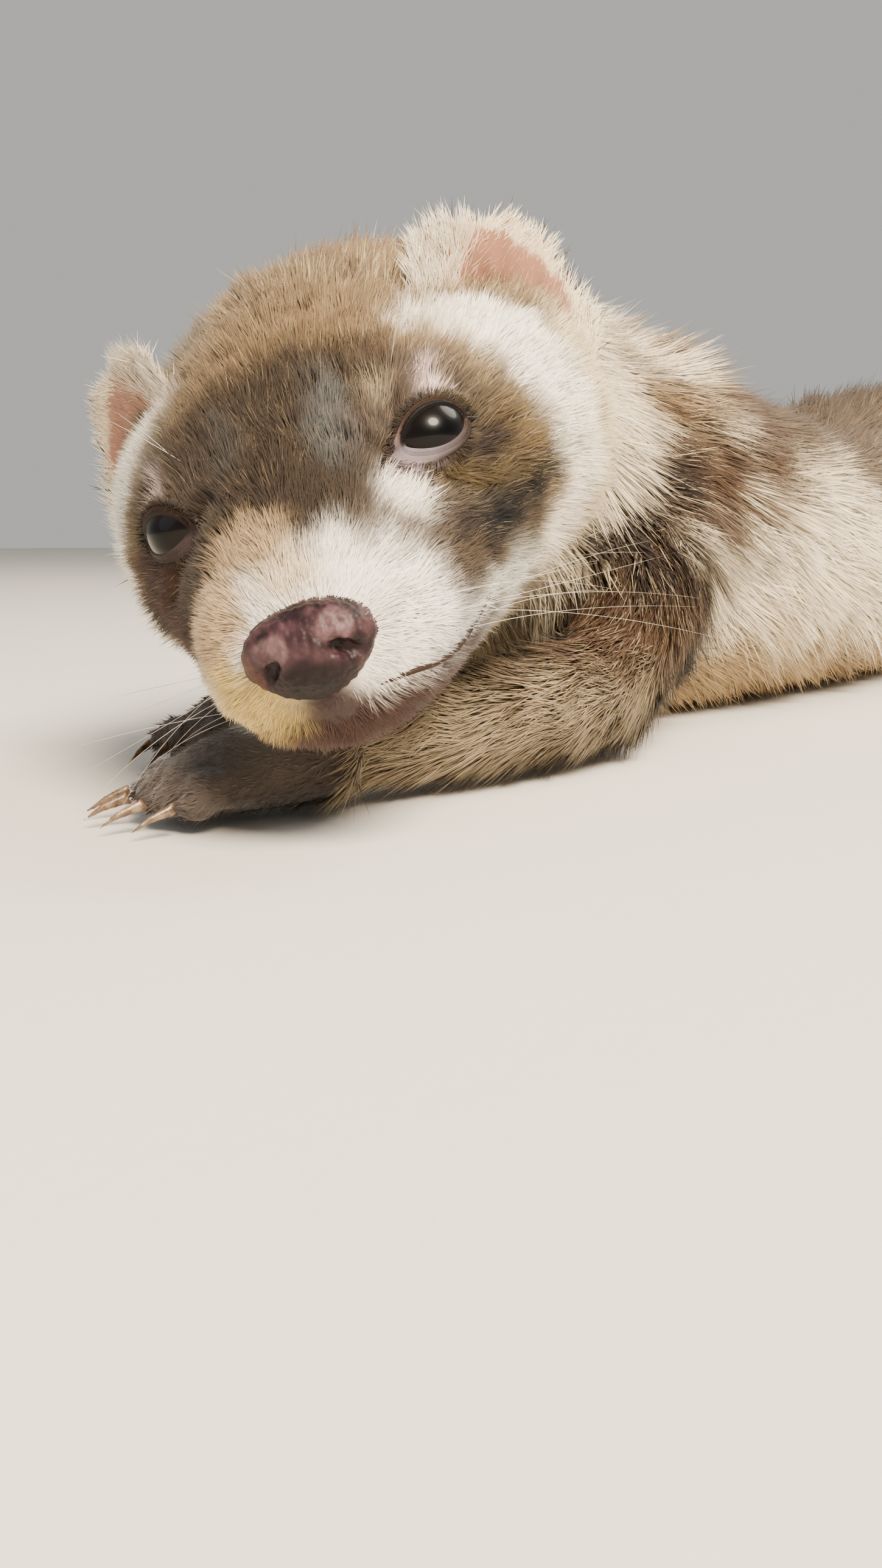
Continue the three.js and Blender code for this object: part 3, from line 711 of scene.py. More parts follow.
# about how many millimetres a direction lies outside the opening, across the ball
def outsideOpening(directions):
    opening = openingAt(directions)
    reach = np.arccos(np.clip(directions[:, 0], -1, 1)) * eyeShape["radius"]
    return reach * (1 - 1 / np.maximum(opening, 1e-3))


# the points near the eyes, moved along directions out of each to the distances that a rule gives
def movedAtEyes(points, rule):
    points = points.copy()
    for side in (1, -1):
        local = toEye(points, side)
        away = np.linalg.norm(local, axis=1)
        close = np.where(away < eyeShape["reach"])[0]
        direction = unit(local[close])
        distance = rule(away[close], openingAt(direction), outsideOpening(direction))
        points[close] = fromEye(direction * distance[:, None], side)
    return points


def socketDistance(away, opening, beyond):
    radius = eyeShape["radius"]
    highest = radius + 0.3 + 0.35 * np.maximum(beyond, 0) + 0.25 * np.maximum(beyond - 1.5, 0) ** 2
    outside = np.clip(away, radius + 0.15, np.maximum(highest, radius + 0.2))
    return np.where(opening < eyeShape["open"], np.minimum(away, radius - 1.4), outside)


# the skin as it is shown, sunk under the lids that lie on it
def sunkDistance(away, opening, beyond):
    covered = smooth(0.86, 0.62, beyond / eyeShape["lidWidth"])
    return away - 0.6 * covered * (opening > eyeShape["open"])


skinPoints = movedAtEyes(skinPoints, socketDistance)
skinNormals = vertexNormals(skinPoints, skinFaces)
skinLabels = labelsAt(skinPoints)


# lie of the coat

lieRules = {
    "from": (54, 0, -4),  # the face's hair flows away from here, ahead of the nose
    "aroundEyes": 0.9,
    "eyeSpread": 7.5,
    "fall": 0.55,  # how much the hair on the trunk hangs down
    "hindpaw": (0.98, 0.14, -0.1),
    "steps": 80,  # along a path
}


def nearestTangent(points, path):
    curve = curveThrough(path, lieRules["steps"]) + shift
    tangents = unit(np.gradient(curve, axis=0))
    found = np.empty(len(points), int)
    for start in range(0, len(points), 4000):
        part = points[start:start + 4000]
        away = ((part[:, None] - curve[None]) ** 2).sum(-1)
        found[start:start + 4000] = away.argmin(1)
    return tangents[found], found / (lieRules["steps"] - 1)


def coatLie(points, normals, labels):
    lie = np.zeros_like(points)
    for label, name in enumerate(fleshNodes):
        mask = labels == label
        path = name.replace("forepaw", "foreleg")
        if name == "head":
            p = toHead(points[mask])
            side = np.sign(p[:, 1])
            flow = unit(p - np.array(lieRules["from"]))
            back = np.stack([-np.ones(len(p)), 0.25 * side, -0.12 + 0.02 * p[:, 2]], -1)
            flow = mixed(flow, unit(back), smooth(30, -5, p[:, 0]))
            eye = mirrored(p, side) - np.array(eyeShape["place"])
            around = mirrored(unit(eye), side) * lieRules["aroundEyes"]
            away = np.linalg.norm(eye, axis=1) / lieRules["eyeSpread"]
            flow = flow + around * np.exp(-(away**2))[:, None]
            lie[mask] = flow @ headTurned.T
        elif path in paths:
            lie[mask] = nearestTangent(points[mask], paths[path])[0]
        elif "hindpaw" in name:
            lie[mask] = mirrored(lieRules["hindpaw"], 1 if "left" in name else -1)
        else:
            tangent = nearestTangent(points[mask], paths["spine"])[0]
            lie[mask] = tangent - np.array([0, 0, 0 if name == "tail" else lieRules["fall"]])
    lie = relaxed(unit(flattened(lie, normals)), skinEdges, 0.5, 22)
    return unit(flattened(lie, normals))


skinLie = coatLie(skinPoints, skinNormals, skinLabels)
print("lie of the coat ready")


# markings: tones of the tips and roots of the hair, by place, with some painted shade and a painted
# highlight among them

# place and spread in the head's frame, tones of tips and roots; on both sides if not said otherwise
headMarks = [
    ("nape", (-24, 0, 16), (12, 22, 20), ("#7d6146", "#c4ac86")),
    ("ruff", (-24, 26, 4), (14, 12, 17), ("#eae0c9", "#d9c8a6")),
    ("cheek", (-8, 27, -6), (15, 12, 15), ("#e3d8bf", "#cdbb98")),
    ("forehead", (27.5, 0, 7.5), (12.6, 15, 12), ("#6b6054", "#3a322b")),
    ("temple", (8, 17, 15), (7, 6, 5), ("#968366", "#54473a")),
    ("greyStreak", (28, 5.2, 9.5), (8.5, 2.2, 6), ("#807f7d", "#504f4e"), "oneSide"),
    ("greyStreakRight", (26, -5.5, 10), (7, 1.6, 4), ("#716c66", "#4b4743"), "oneSide"),
    ("palePatch", (24.4, 10.4, 9.8), (2.3, 1.5, 2.1), ("#c4b7a0", "#94897a"), "oneSide"),
    # painted shade: the throat under the jaw is painted dark brown for the shade that falls there
    ("throat", (0, 18, -20), (13, 14, 7), ("#4d3a2b", "#33261f")),
    ("band", (12, 15, 16), (3.6, 3.8, 3.8), ("#f3ede0", "#e9dfcd")),
    ("band", (9, 20.5, 13), (7.5, 5.5, 5), ("#f7f2e8", "#ece3d3")),
    ("band", (7, 24, 7.5), (7.5, 5, 5.5), ("#faf7ef", "#efe8da")),
    ("band", (7, 26, 1), (6.5, 5, 6), ("#faf7ef", "#efe8da")),
    ("band", (8.5, 25.5, -6), (6, 5.5, 6), ("#f6f1e6", "#ebe2d2")),
    ("band", (15, 22, -12), (7, 6, 4.6), ("#f3ede0", "#e6dcc8")),
    ("jaw", (26, 16, -14), (9, 7, 5), ("#eff0e8", "#e2dccd")),
    ("mask", (20.5, 16.5, 1.6), (8.6, 6.6, 7), ("#7f7258", "#463a2e")),
    ("maskFront", (27, 11.5, 6), (4, 3.6, 4), ("#766a60", "#4a4038")),
    ("maskGold", (17.4, 21.4, 2.4), (4.2, 3.6, 4.6), ("#8f7f60", "#57472f")),
    ("maskUnder", (28.2, 15.6, -0.2), (2.8, 2.4, 1.9), ("#b3a283", "#75654b")),
    ("maskLine", (22.6, 18.2, 1.6), (5.4, 2.6, 1.3), ("#54453a", "#332822")),
    ("maskEdge", (30.6, 15, -3.6), (3.4, 3, 2), ("#564a41", "#332b26")),
    ("maskEdge", (25.8, 17.4, -4.9), (5.4, 3.8, 2.9), ("#1d1815", "#120f0d")),
    ("maskEdge", (18.6, 21.4, -4), (5, 3.8, 2.4), ("#2f2822", "#1f1a16")),
    ("maskEdge", (14.4, 23.4, -3.4), (3.4, 3.2, 2), ("#4a4038", "#2e2721")),
    ("maskRust", (24, -17.6, -2.4), (9, 6, 6), ("#6b4627", "#3a2717"), "oneSide"),
    ("muzzle", (49.3, 0, -9), (15.4, 20, 13), ("#fbf8f2", "#f1e9de")),
    ("bridge", (37.8, -4, 2), (4.6, 4.4, 3), ("#c8b69a", "#9f8c74"), "oneSide"),
    ("streak", (32.6, 10.6, 1.2), (3.4, 2.3, 3.2), ("#f8f4ec", "#ebe2d6"), "oneSide"),
    ("streak", (29.6, 12.2, 3), (2, 1.5, 2), ("#efe7dc", "#ddd0c4"), "oneSide"),
    ("muzzleTop", (42.5, -3, -1), (5, 6, 3.4), ("#e9dcc6", "#d3c2ac")),
    ("lipGrey", (37, 12, -11.4), (7, 4, 1.8), ("#d3d5d2", "#bfbfbb"), "oneSide"),
    ("noseTuft", (44.2, 7.4, -6), (1.3, 1.3, 1.5), ("#a0978a", "#857b6f"), "oneSide"),
    # the far side of the muzzle is painted beige: partly its own stain, partly painted shade
    ("muzzleLeft", (41, -9, -3), (6, 5, 5), ("#dcc8ac", "#c4ad90"), "oneSide"),
    ("stain", (43.6, -7.4, -12.4), (6.5, 5.2, 6.4), ("#e6d49f", "#cfb97f"), "oneSide"),
    ("chin", (40, 2, -17.4), (10.5, 12.5, 4.5), ("#7f675c", "#624d45")),
    ("philtrum", (46, 0, -12), (3.4, 3.2, 2.4), ("#6b5350", "#523f3e")),
    ("browDark", (20.8, 15, 9.8), (3.8, 3.4, 3), ("#786a5c", "#4e4237")),
    ("browSpot", (21, 15.4, 9.4), (2.4, 2.1, 2), ("#fbebe5", "#efd9d3")),
    ("earTuft", (0, 19.5, 20), (4, 3.6, 3), ("#f6f1e6", "#d9ccb8")),
    ("earFront", (8.8, 18.4, 16.8), (2.4, 2.6, 2.4), ("#493d34", "#2a221d")),
]
crownTones = ("#a9967a", "#43382d")  # from the ears to the neck, and ahead of them
faceTones = ("#7d6e5b", "#4d4238")
chinTones = ("#765f56", "#523f39")


mouth = {
    "places": [(43.9, -12.3), (40.8, -13.1), (36.8, -13.4), (32, -12.9), (28, -11.9), (25.2, -10.8)],
    "front": (45.6, 0, -12),
    "lift": -0.05,
    "depth": 1.12,
    "radius": 0.24,
    "tone": "#5d4a43",
}


def lipLine(ahead):
    places = mouth["places"][::-1]
    return np.interp(ahead, [x for x, _ in places], [z for _, z in places])


def inBlob(points, place, spread, ragged):
    away = np.sqrt(sum(((points[:, k] - place[k]) / spread[k]) ** 2 for k in range(3)))
    return 1 - smooth(0.8, 1.18, away + ragged)


def headTones(points):
    p = toHead(points)
    ragged = 0.07 * waves(points, 5, 3) + 0.05 * waves(points, 2.2, 4)
    front = smooth(14, 20, p[:, 0] + 20 * ragged)
    tones = toned(crownTones, faceTones, front)
    tones[0] = mixed(tones[0], tones[0] * 0.55, 0.5 * smooth(0.1, 0.9, waves(points, 8, 44)))
    seen = mirrored(p, np.sign(p[:, 1]))
    for _, place, spread, pair, *side in headMarks:
        tones = toned(tones, pair, inBlob(p if side else seen, place, spread, ragged))
    # the lower lip and chin are nearly bare and mauve
    below = smooth(-0.3, 0.6, lipLine(p[:, 0]) - p[:, 2]) * smooth(20, 28, p[:, 0]) * smooth(-6, -3, p[:, 1])
    return toned(tones, chinTones, below)


bodyMarks = {
    "tops": [dict(at=i, top=t) for i, t in enumerate(
        [70, 67.5, 67, 60, 54.5, 57.5, 66.5, 67, 58, 37, 27, 25.6, 23.5, 15.8, 14])],
    "back": ("#564639", "#a8967c"),
    "rump": ("#43372e", "#91816b"),
    "flank": ("#f1e9d8", "#e6dac2"),
    "low": ("#c8b594", "#a8957a"),
    "neckStreak": ("#664a31", "#c2aa82"),
    "shoulder": ("#43301f", "#2e2119"),
    "foreleg": ("#7b654e", "#5f4d3d"),
    "forearm": ("#bdb19c", "#a0927c"),
    "neckBrown": ("#7d6854", "#54412f"),
    "darkPatch": ("#4a3a2e", "#31261e"),
    "hindleg": ("#4e3b2d", "#3a2b21"),
    "paw": ("#857b74", "#5f5751"),
    "tail": ("#3d332c", "#7f6e59"),
}


def tonesOf(points, labels):
    p = points - shift
    along = nearestTangent(points, paths["spine"])[1] * (len(paths["spine"]) - 1)
    high = p[:, 2] / between(bodyMarks["tops"], "top", along)
    ragged = 0.05 * waves(points, 9, 5) + 0.04 * waves(points, 4, 6)
    streaks = smooth(-0.25, 0.55, waves(p * [0.35, 1, 1], 6.5, 7))

    def over(base, name, share):
        return toned(base, bodyMarks[name], share)

    trunk = over(bodyMarks["low"], "flank", smooth(0.22, 0.36, high + ragged))
    trunk = over(trunk, "back", smooth(0.64, 0.8, high + ragged))
    trunk = over(trunk, "rump", smooth(0.4, 0.75, high + ragged) * smooth(4, 8, along))
    ahead = p[:, 0]
    brown = smooth(-48, -58, ahead) * smooth(-112, -92, ahead)
    brown *= smooth(-3, 4, p[:, 2] - 31 + 0.16 * (ahead + 57) + 60 * ragged)
    trunk = over(trunk, "neckBrown", brown)
    streaked = smooth(-50, -56, ahead) * smooth(-92, -78, ahead) * smooth(44, 50, p[:, 2] + 40 * ragged)
    trunk = over(trunk, "flank", streaked * (1 - streaks))
    trunk = over(trunk, "neckStreak", streaked * streaks)
    trunk = over(trunk, "flank", smooth(-58, -46, ahead) * smooth(38, 44, p[:, 2]) * (1 - 0.35 * streaks))
    for side in (13, -39):  # dark shoulders
        trunk = over(trunk, "darkPatch", inBlob(p, (-62, side, 41), (8, 9, 5), 2 * ragged))
        trunk = over(trunk, "shoulder", inBlob(p, (-49, side, 31), (11, 12, 8), ragged))
    shoulder = smooth(19, 27, p[:, 2]) * smooth(-75, -58, ahead) * (0.5 + 0.5 * streaks)
    fore = over(bodyMarks["foreleg"], "shoulder", shoulder)
    fore = over(fore, "forearm", smooth(17, 9, p[:, 2] + 20 * ragged) * smooth(-58, -40, ahead))
    hind = over(bodyMarks["hindleg"], "rump", smooth(22, 34, p[:, 2]))
    whole = np.ones(len(p))
    tones = {kind: trunk for kind in ("neck", "chest", "abdomen", "hips")}
    tones.update({kind: over(bodyMarks["paw"], "paw", whole) for kind in pawKinds})
    tail = over(bodyMarks["tail"], "tail", whole)
    tones.update(head=headTones(points), foreleg=fore, hindleg=hind, tail=tail)
    kinds = nodeKinds[labels]
    return [np.select([(kinds == kind)[:, None] for kind in tones], [pair[k] for pair in tones.values()])
            for k in (0, 1)]


skinTips, skinRoots = (relaxed(values, skinEdges, 0.5, 3) for values in tonesOf(skinPoints, skinLabels))
seam = relaxed(skinLabels == headLabel, skinEdges, 0.5, 40)[:, 0]
seam = np.clip(4 * seam * (1 - seam), 0, 1)
for values in (skinTips, skinRoots):  # tones flow into each other where nodes meet
    eased = relaxed(values, skinEdges, 0.5, 30)
    values += (eased - values) * np.maximum(seam, 0.25 * (skinLabels != headLabel))[:, None]
pawShare = relaxed(np.isin(nodeKinds[skinLabels], pawKinds), skinEdges, 0.5, 4)
# painted shade darkens the paws' skin and coat in the grooves between the toes, and a painted highlight
# lightens their ridges
grooveShadeDepth = ((relaxed(skinPoints, skinEdges, 0.5, 40) - skinPoints) * skinNormals).sum(1)
for values in (skinTips, skinRoots):
    values *= 1 - (0.75 * smooth(0.0, 0.35, grooveShadeDepth) - 0.35 * smooth(0.0, -0.4, grooveShadeDepth))[:, None] * pawShare
print("markings ready")


# unwrap: the skin's charts, each node seen along the axis that its surface faces most

def chartsOf(points, faces, labels, margin=0.004):
    a, b, c = points[faces.T]
    flat = np.cross(b - a, c - a)
    axis = np.abs(flat).argmax(1)
    chart = labels[faces[:, 0]] * 6 + axis * 2 + (np.take_along_axis(flat, axis[:, None], 1)[:, 0] > 0)
    kept = np.array([[1, 2], [0, 2], [0, 1]])[axis]
    places = np.stack([np.take_along_axis(points[faces[:, k]], kept, 1) for k in range(3)], 1)
    used = np.unique(chart)
    low = {n: places[chart == n].min((0, 1)) for n in used}
    size = {n: places[chart == n].max((0, 1)) - low[n] for n in used}
    order = sorted(used, key=lambda n: -size[n][1])
    scale = math.sqrt(0.8 / sum(np.prod(size[n] + 1) for n in used))
    while True:
        x = y = margin
        row, spot = 0, {}
        for n in order:
            wide, high = size[n] * scale
            if x + wide + margin > 1:
                x, y, row = margin, y + row + margin, 0
            spot[n] = (x, y)
            x, row = x + wide + margin, max(row, high)
        if y + row + margin <= 1 and max(size[n][0] for n in used) * scale < 0.98:
            break
        scale *= 0.96
    moved = np.array([spot[n] for n in used]) - np.array([low[n] for n in used]) * scale
    return places * scale + moved[np.searchsorted(used, chart)][:, None]


# coat: thin tapered tufts, three-sided and closed, each rooted in the skin

coatFinish = softFinish(
    "coatHair", "tuftTone",
    {"Roughness": 0.6, "Specular IOR Level": 0.18, "Sheen Weight": 0.08, "Sheen Roughness": 0.5},
    level=0.84, patches=[(0.22, 7, 3, 0.6), (0.12, 0.7, 2, 0.5)], relief=[(1, 0.35, 2)], bump=(0.25, 0.05))

coatRules = {  # what a coat piece has if it says nothing else
    "density": lambda points: np.ones(len(points)),
    "tones": lambda root, tipTone, rootTone, draw: (tipTone, rootTone),
    "wander": 0.3,  # how far neighbouring tufts lean to one side together
    "stray": 0.12,  # and each by itself
    "bend": 0.45,  # rise of the outer half, over the tuft's own
    "pull": 0.5,  # how far the tips of a lock draw together
    "sink": 0.3,  # millimetres that the root reaches into the skin
    "even": 0.65,  # share of the skin's direction in the tuft's shading
    "steeper": 1.25,  # rise of the inner half, over the tuft's own
    "inner": 0.45,  # where the tuft bends, as a share of its length
    "lengths": (0.72, 1.12),
    "widths": (0.7, 1.3),
    "clear": 0.15,  # millimetres that the hair stays over the floor
}
tuftFaces = np.array([[0, 1, 3], [1, 2, 3], [2, 0, 3], [0, 2, 1]])  # three corners of the root, then the tip
tuftUnwrap = np.array([[-0.0015, 0], [0.0015, 0], [0, 0], [0, 0.003]])


def growCoat(name, spec, surface, slot="coat"):
    spec = {**coatRules, **spec}
    points, faces, normals, lie, labels, tips, roots = (surface[key] for key in (
        "points", "faces", "normals", "lie", "labels", "tips", "roots"))
    faces = faces[spec["where"](points[faces].mean(1), labels[faces[:, 0]])]
    places = chartsOf(points, faces, labels)
    draw = np.random.default_rng(spec["seed"])
    a, b, c = points[faces.T]
    area = np.linalg.norm(np.cross(b - a, c - a), axis=1) / 2
    total = np.cumsum(area * spec["density"](points[faces].mean(1)))
    count = int(spec["count"] * (1))
    pick = np.searchsorted(total, (np.arange(count) + draw.random(count)) / count * total[-1])
    pick = pick.clip(0, len(faces) - 1)
    u, v = draw.random(count), draw.random(count)
    flip = u + v > 1
    u, v = np.where(flip, 1 - u, u), np.where(flip, 1 - v, v)
    share = np.stack([1 - u - v, u, v], -1)[..., None]

    def at(values):
        return (values[faces[pick]] * share).sum(1)

    root, normal = at(points), unit(at(normals))
    ahead = unit(at(lie))
    place = (places[pick] * share).sum(1)
    across = unit(np.cross(normal, ahead))
    # neighbouring tufts lean the same way, and draw together into small locks
    lock, seed = spec["lock"], spec["seed"]
    wander = waves(root, lock * 2.2, seed + 1) * spec["wander"] + draw.normal(0, spec["stray"], count)
    ahead = unit(ahead + across * wander[:, None])
    across = unit(np.cross(normal, ahead))
    depth = spec["depth"](root) * (1 + 0.16 * waves(root, lock * 1.7, seed + 2))
    rise = np.radians(spec["rise"]) * (1 + 0.25 * draw.normal(0, 1, count)).clip(0.4, 1.9)
    rise = rise * (1 + 0.25 * waves(root, lock * 3, seed + 5))
    length = depth / np.sin(np.radians(spec["rise"])) * draw.uniform(*spec["lengths"], count)
    first, second = (ahead * np.cos(rise * bend)[:, None] + normal * np.sin(rise * bend)[:, None]
                     for bend in (spec["steeper"], spec["bend"]))
    second = unit(second + across * draw.normal(0, 0.14, count)[:, None])
    middle = root + first * (length * spec["inner"])[:, None]
    tip = middle + second * (length * (1 - spec["inner"]))[:, None]
    centres = root[draw.permutation(count)[:max(count // spec["perLock"], 1)]]
    pull = centres[nearestIn(treeOf(centres), root)] - root
    tip = tip + flattened(pull, normal) * spec["pull"]
    wide = (spec["wide"] * draw.uniform(*spec["widths"], count))[:, None]
    base = root - normal * spec["sink"] - first * 0.2
    up = unit(np.cross(first, across))
    up *= np.sign((up * normal).sum(1, keepdims=True))
    corners = np.stack([base - across * wide, base + across * wide, base + up * wide * 0.7, tip], 1)
    tipTone, rootTone = spec["tones"](root, at(tips), at(roots), draw)
    shade = 1 + 0.16 * draw.normal(0, 1, count) + 0.11 * waves(root, lock * 1.3, seed + 7)
    shade = shade.clip(0.5, 1.4)[:, None]
    tipTone, rootTone = tipTone * shade, rootTone * (0.5 + 0.5 * shade)
    rootMiddle = corners[:, :3].mean(1, keepdims=True)
    # no tuft reaches into the floor
    corners[..., 2] = np.maximum(corners[..., 2], spec["clear"] + 0.1 * draw.random((count, 1)))
    # shaded as part of the coat, a little rounded at the root
    own = unit(corners - rootMiddle)
    own[:, -1] = 0
    softened = unit(spec["even"] * normal[:, None] + 0.6 * own)
    hairFaces = (tuftFaces + (np.arange(count) * 4)[:, None, None]).reshape(-1, 3)
    piece = makePiece(name, corners.reshape(-1, 3), hairFaces, coatFinish, slot)
    piece.data.normals_split_custom_set_from_vertices(softened.reshape(-1, 3).astype(np.float32))
    setColour(piece.data, "tuftTone", np.stack([rootTone] * 3 + [tipTone], 1).reshape(-1, 3))
    setUnwrap(piece.data, (place[:, None] + tuftUnwrap).reshape(-1, 2)[hairFaces.ravel()])
    print(name + ":", count, "tufts,", len(hairFaces), "triangles")


skinSurface = {"points": skinPoints, "faces": skinFaces, "normals": skinNormals, "lie": skinLie,
               "labels": skinLabels, "tips": skinTips, "roots": skinRoots}


# millimetres from the edge of the lids, or far where neither eye is near
def fromLids(points):
    away = np.full(len(points), 20.0)
    for side in (1, -1):
        local = toEye(points, side)
        near = np.linalg.norm(local, axis=1) < eyeShape["reach"]
        away = np.where(near, np.minimum(away, outsideOpening(unit(local))), away)
    return away


def depthAt(more):
    def found(points):
        p = toHead(points)
        depth = more * np.interp(p[:, 0], coatDepth["headPlaces"], coatDepth["head"])
        over = p[:, 2] - lipLine(p[:, 0])
        lip = (over > -0.3) * smooth(3.2, 0.8, over) * smooth(28, 36, p[:, 0])
        ear = np.exp(-((np.abs(p[:, 1]) - 24) ** 2 + (p[:, 0] - 1) ** 2 + (p[:, 2] - 13) ** 2) / 60)
        return (1 - 0.5 * ear) * depth * (0.38 + 0.62 * smooth(1, 4.5, fromLids(points))) * (1 - 0.4 * lip)
    return found


# share of the hair that grows at a place on the face: none on the nose and the lids' edges, less on the
# chin, the groove under the nose, the line of the mouth and the brow, and more towards the muzzle
def faceDensity(points):
    p = toHead(points)
    nose = np.linalg.norm((p - np.array([46.5, 0, -7.2])) / np.array([3.4, 6.8, 4.8]), axis=1)
    keep = smooth(0.92, 1.06, nose) * smooth(1.6, 2.4, fromLids(points))
    keep *= 1 - 0.2 * inBlob(p, (41, 0, -17.6), (9, 11.5, 4.6), 0)
    keep *= 1 - 0.8 * inBlob(p, (46, 0, -12), (3.6, 2.7, 2.2), 0)
    keep *= 1 - 0.7 * smooth(0.6, 0.25, np.abs(p[:, 2] - lipLine(p[:, 0]))) * smooth(24, 27, p[:, 0])
    keep *= 1 - swelling(p, (20.8, 15.6, 9.4), (2.2, 2.2, 1.8), 0.6)
    return keep * (1 + 0.8 * smooth(20, 42, p[:, 0]))


def frontHead(low, high):
    def found(points, labels):
        x = toHead(points)[:, 0]
        return (labels == headLabel) & (x >= low) & (x < high)
    return found


def bodyPart(*kinds):
    return lambda points, labels: np.isin(nodeKinds[labels], kinds)


def bodyDepth(amount):
    return lambda points: np.full(len(points), amount, float)


# dark or pale guard hairs among the others
def speckled(pale, share):
    def found(root, tipTone, rootTone, draw):
        chosen = (draw.random(len(root)) < share)[:, None]
        return np.where(chosen, toned(tipTone, pale, 0.6), tipTone), rootTone
    return found


coatSpecs = {
    "coatMuzzle": dict(
        where=frontHead(30, 60), count=26000, depth=depthAt(0.95), rise=22, wide=0.1, lock=1.2,
        perLock=6, pull=0.25, density=faceDensity, seed=11, stray=0.14),
    "coatFace": dict(
        where=frontHead(18, 30), count=34000, depth=depthAt(1.0), rise=25, wide=0.11, lock=1.6,
        perLock=7, pull=0.3, density=faceDensity, seed=12, tones=speckled("#a89a84", 0.08)),
    "coatBrow": dict(
        where=frontHead(6, 18), count=36000, depth=depthAt(1.05), rise=29, wide=0.13, lock=2,
        perLock=9, pull=0.4, density=faceDensity, seed=13, tones=speckled("#c4b698", 0.13)),
    "coatCrown": dict(
        where=frontHead(-8, 6), count=33000, depth=depthAt(1.12), rise=33, wide=0.145, lock=2.4,
        perLock=10, seed=14, tones=speckled("#e2d6ba", 0.22)),
    "coatCheek": dict(
        where=frontHead(-60, -8), count=26000, depth=depthAt(1.1), rise=28, wide=0.17, lock=3,
        perLock=12, seed=15, tones=speckled("#d3c3a2", 0.14)),
    "coatNeck": dict(
        where=bodyPart("neck"), count=27000, depth=bodyDepth(4.8), rise=27, wide=0.22, lock=3.6,
        perLock=12, seed=16, tones=speckled("#e6d9bd", 0.14)),
    "coatChest": dict(
        where=bodyPart("chest"), count=27000, depth=bodyDepth(5.1), rise=25, wide=0.27, lock=4.2,
        perLock=12, pull=0.45, seed=17),
    "coatAbdomen": dict(
        where=bodyPart("abdomen"), count=23000, depth=bodyDepth(5), rise=23, wide=0.32, lock=4.5,
        perLock=12, pull=0.45, seed=18),
    "coatHips": dict(
        where=bodyPart("hips"), count=22000, depth=bodyDepth(5), rise=23, wide=0.32, lock=4.5,
        perLock=12, pull=0.45, seed=19),
    "coatTail": dict(
        where=bodyPart("tail"), count=15000, depth=bodyDepth(6.6), rise=25, wide=0.26, lock=4,
        perLock=12, pull=0.4, seed=20, bend=0.7),
    "coatForelegs": dict(
        where=bodyPart("foreleg"), count=31000, depth=bodyDepth(2.3), rise=16, wide=0.15, lock=3,
        perLock=7, pull=0.12, seed=21, stray=0.08, wander=0.2, tones=speckled("#d8c8ab", 0.15)),
    "coatHindlegs": dict(
        where=bodyPart("hindleg"), count=18000, depth=bodyDepth(3.2), rise=22, wide=0.23, lock=3,
        perLock=10, pull=0.35, seed=22),
    "coatPaws": dict(
        where=bodyPart("forepaw", "hindpaw"), count=17000, depth=bodyDepth(0.6), rise=18, wide=0.12,
        lock=1.4, perLock=7, pull=0.25, seed=23),
}
for coatName, coatSpec in coatSpecs.items():
    growCoat(coatName, coatSpec, skinSurface)


# skin under the coat: short underfur shown by bump and fine streaks

skinFinish = softFinish(
    "skinUnderfur", "skinTone",
    {"Roughness": 0.78, "Specular IOR Level": 0.2, "Sheen Weight": 0.3, "Sheen Roughness": 0.5},
    level=0.6, patches=[(0.35, 0.5, 4, 0.6), (0.15, 6, 4)],
    relief=[(0.7, 0.5, 4, 0.6), (0.3, 6, 4)], bump=(0.7, 0.35))
skin = makePiece("skin", movedAtEyes(skinPoints, sunkDistance), skinFaces, skinFinish, "coat", fleshNodes)
setColour(skin.data, "skinTone", mixed(skinRoots, skinTips, 0.35))
setUnwrap(skin.data, chartsOf(skinPoints, skinFaces, skinLabels).reshape(-1, 2))
print("skin made")


# ears: the solids' cupped disc, finer, thin at the rim

earShape = {
    "place": (-4.7, 23.3, 10.9),
    "along": (-0.436, 0.59, -0.68),
    "rise": (-0.46, 0.5, 0.73),
    "half": 11.8,
    "high": 10.3,
    "cup": 4.6,
    "rim": 0.35,
    "root": 0.95,
    "rings": 26,
    "sides": 88,
}


def earAxes():
    along = unit(earShape["along"])
    rise = np.array(earShape["rise"], float)
    rise = unit(rise - along * (rise @ along))
    return np.stack([along, rise, np.cross(along, rise)], -1)


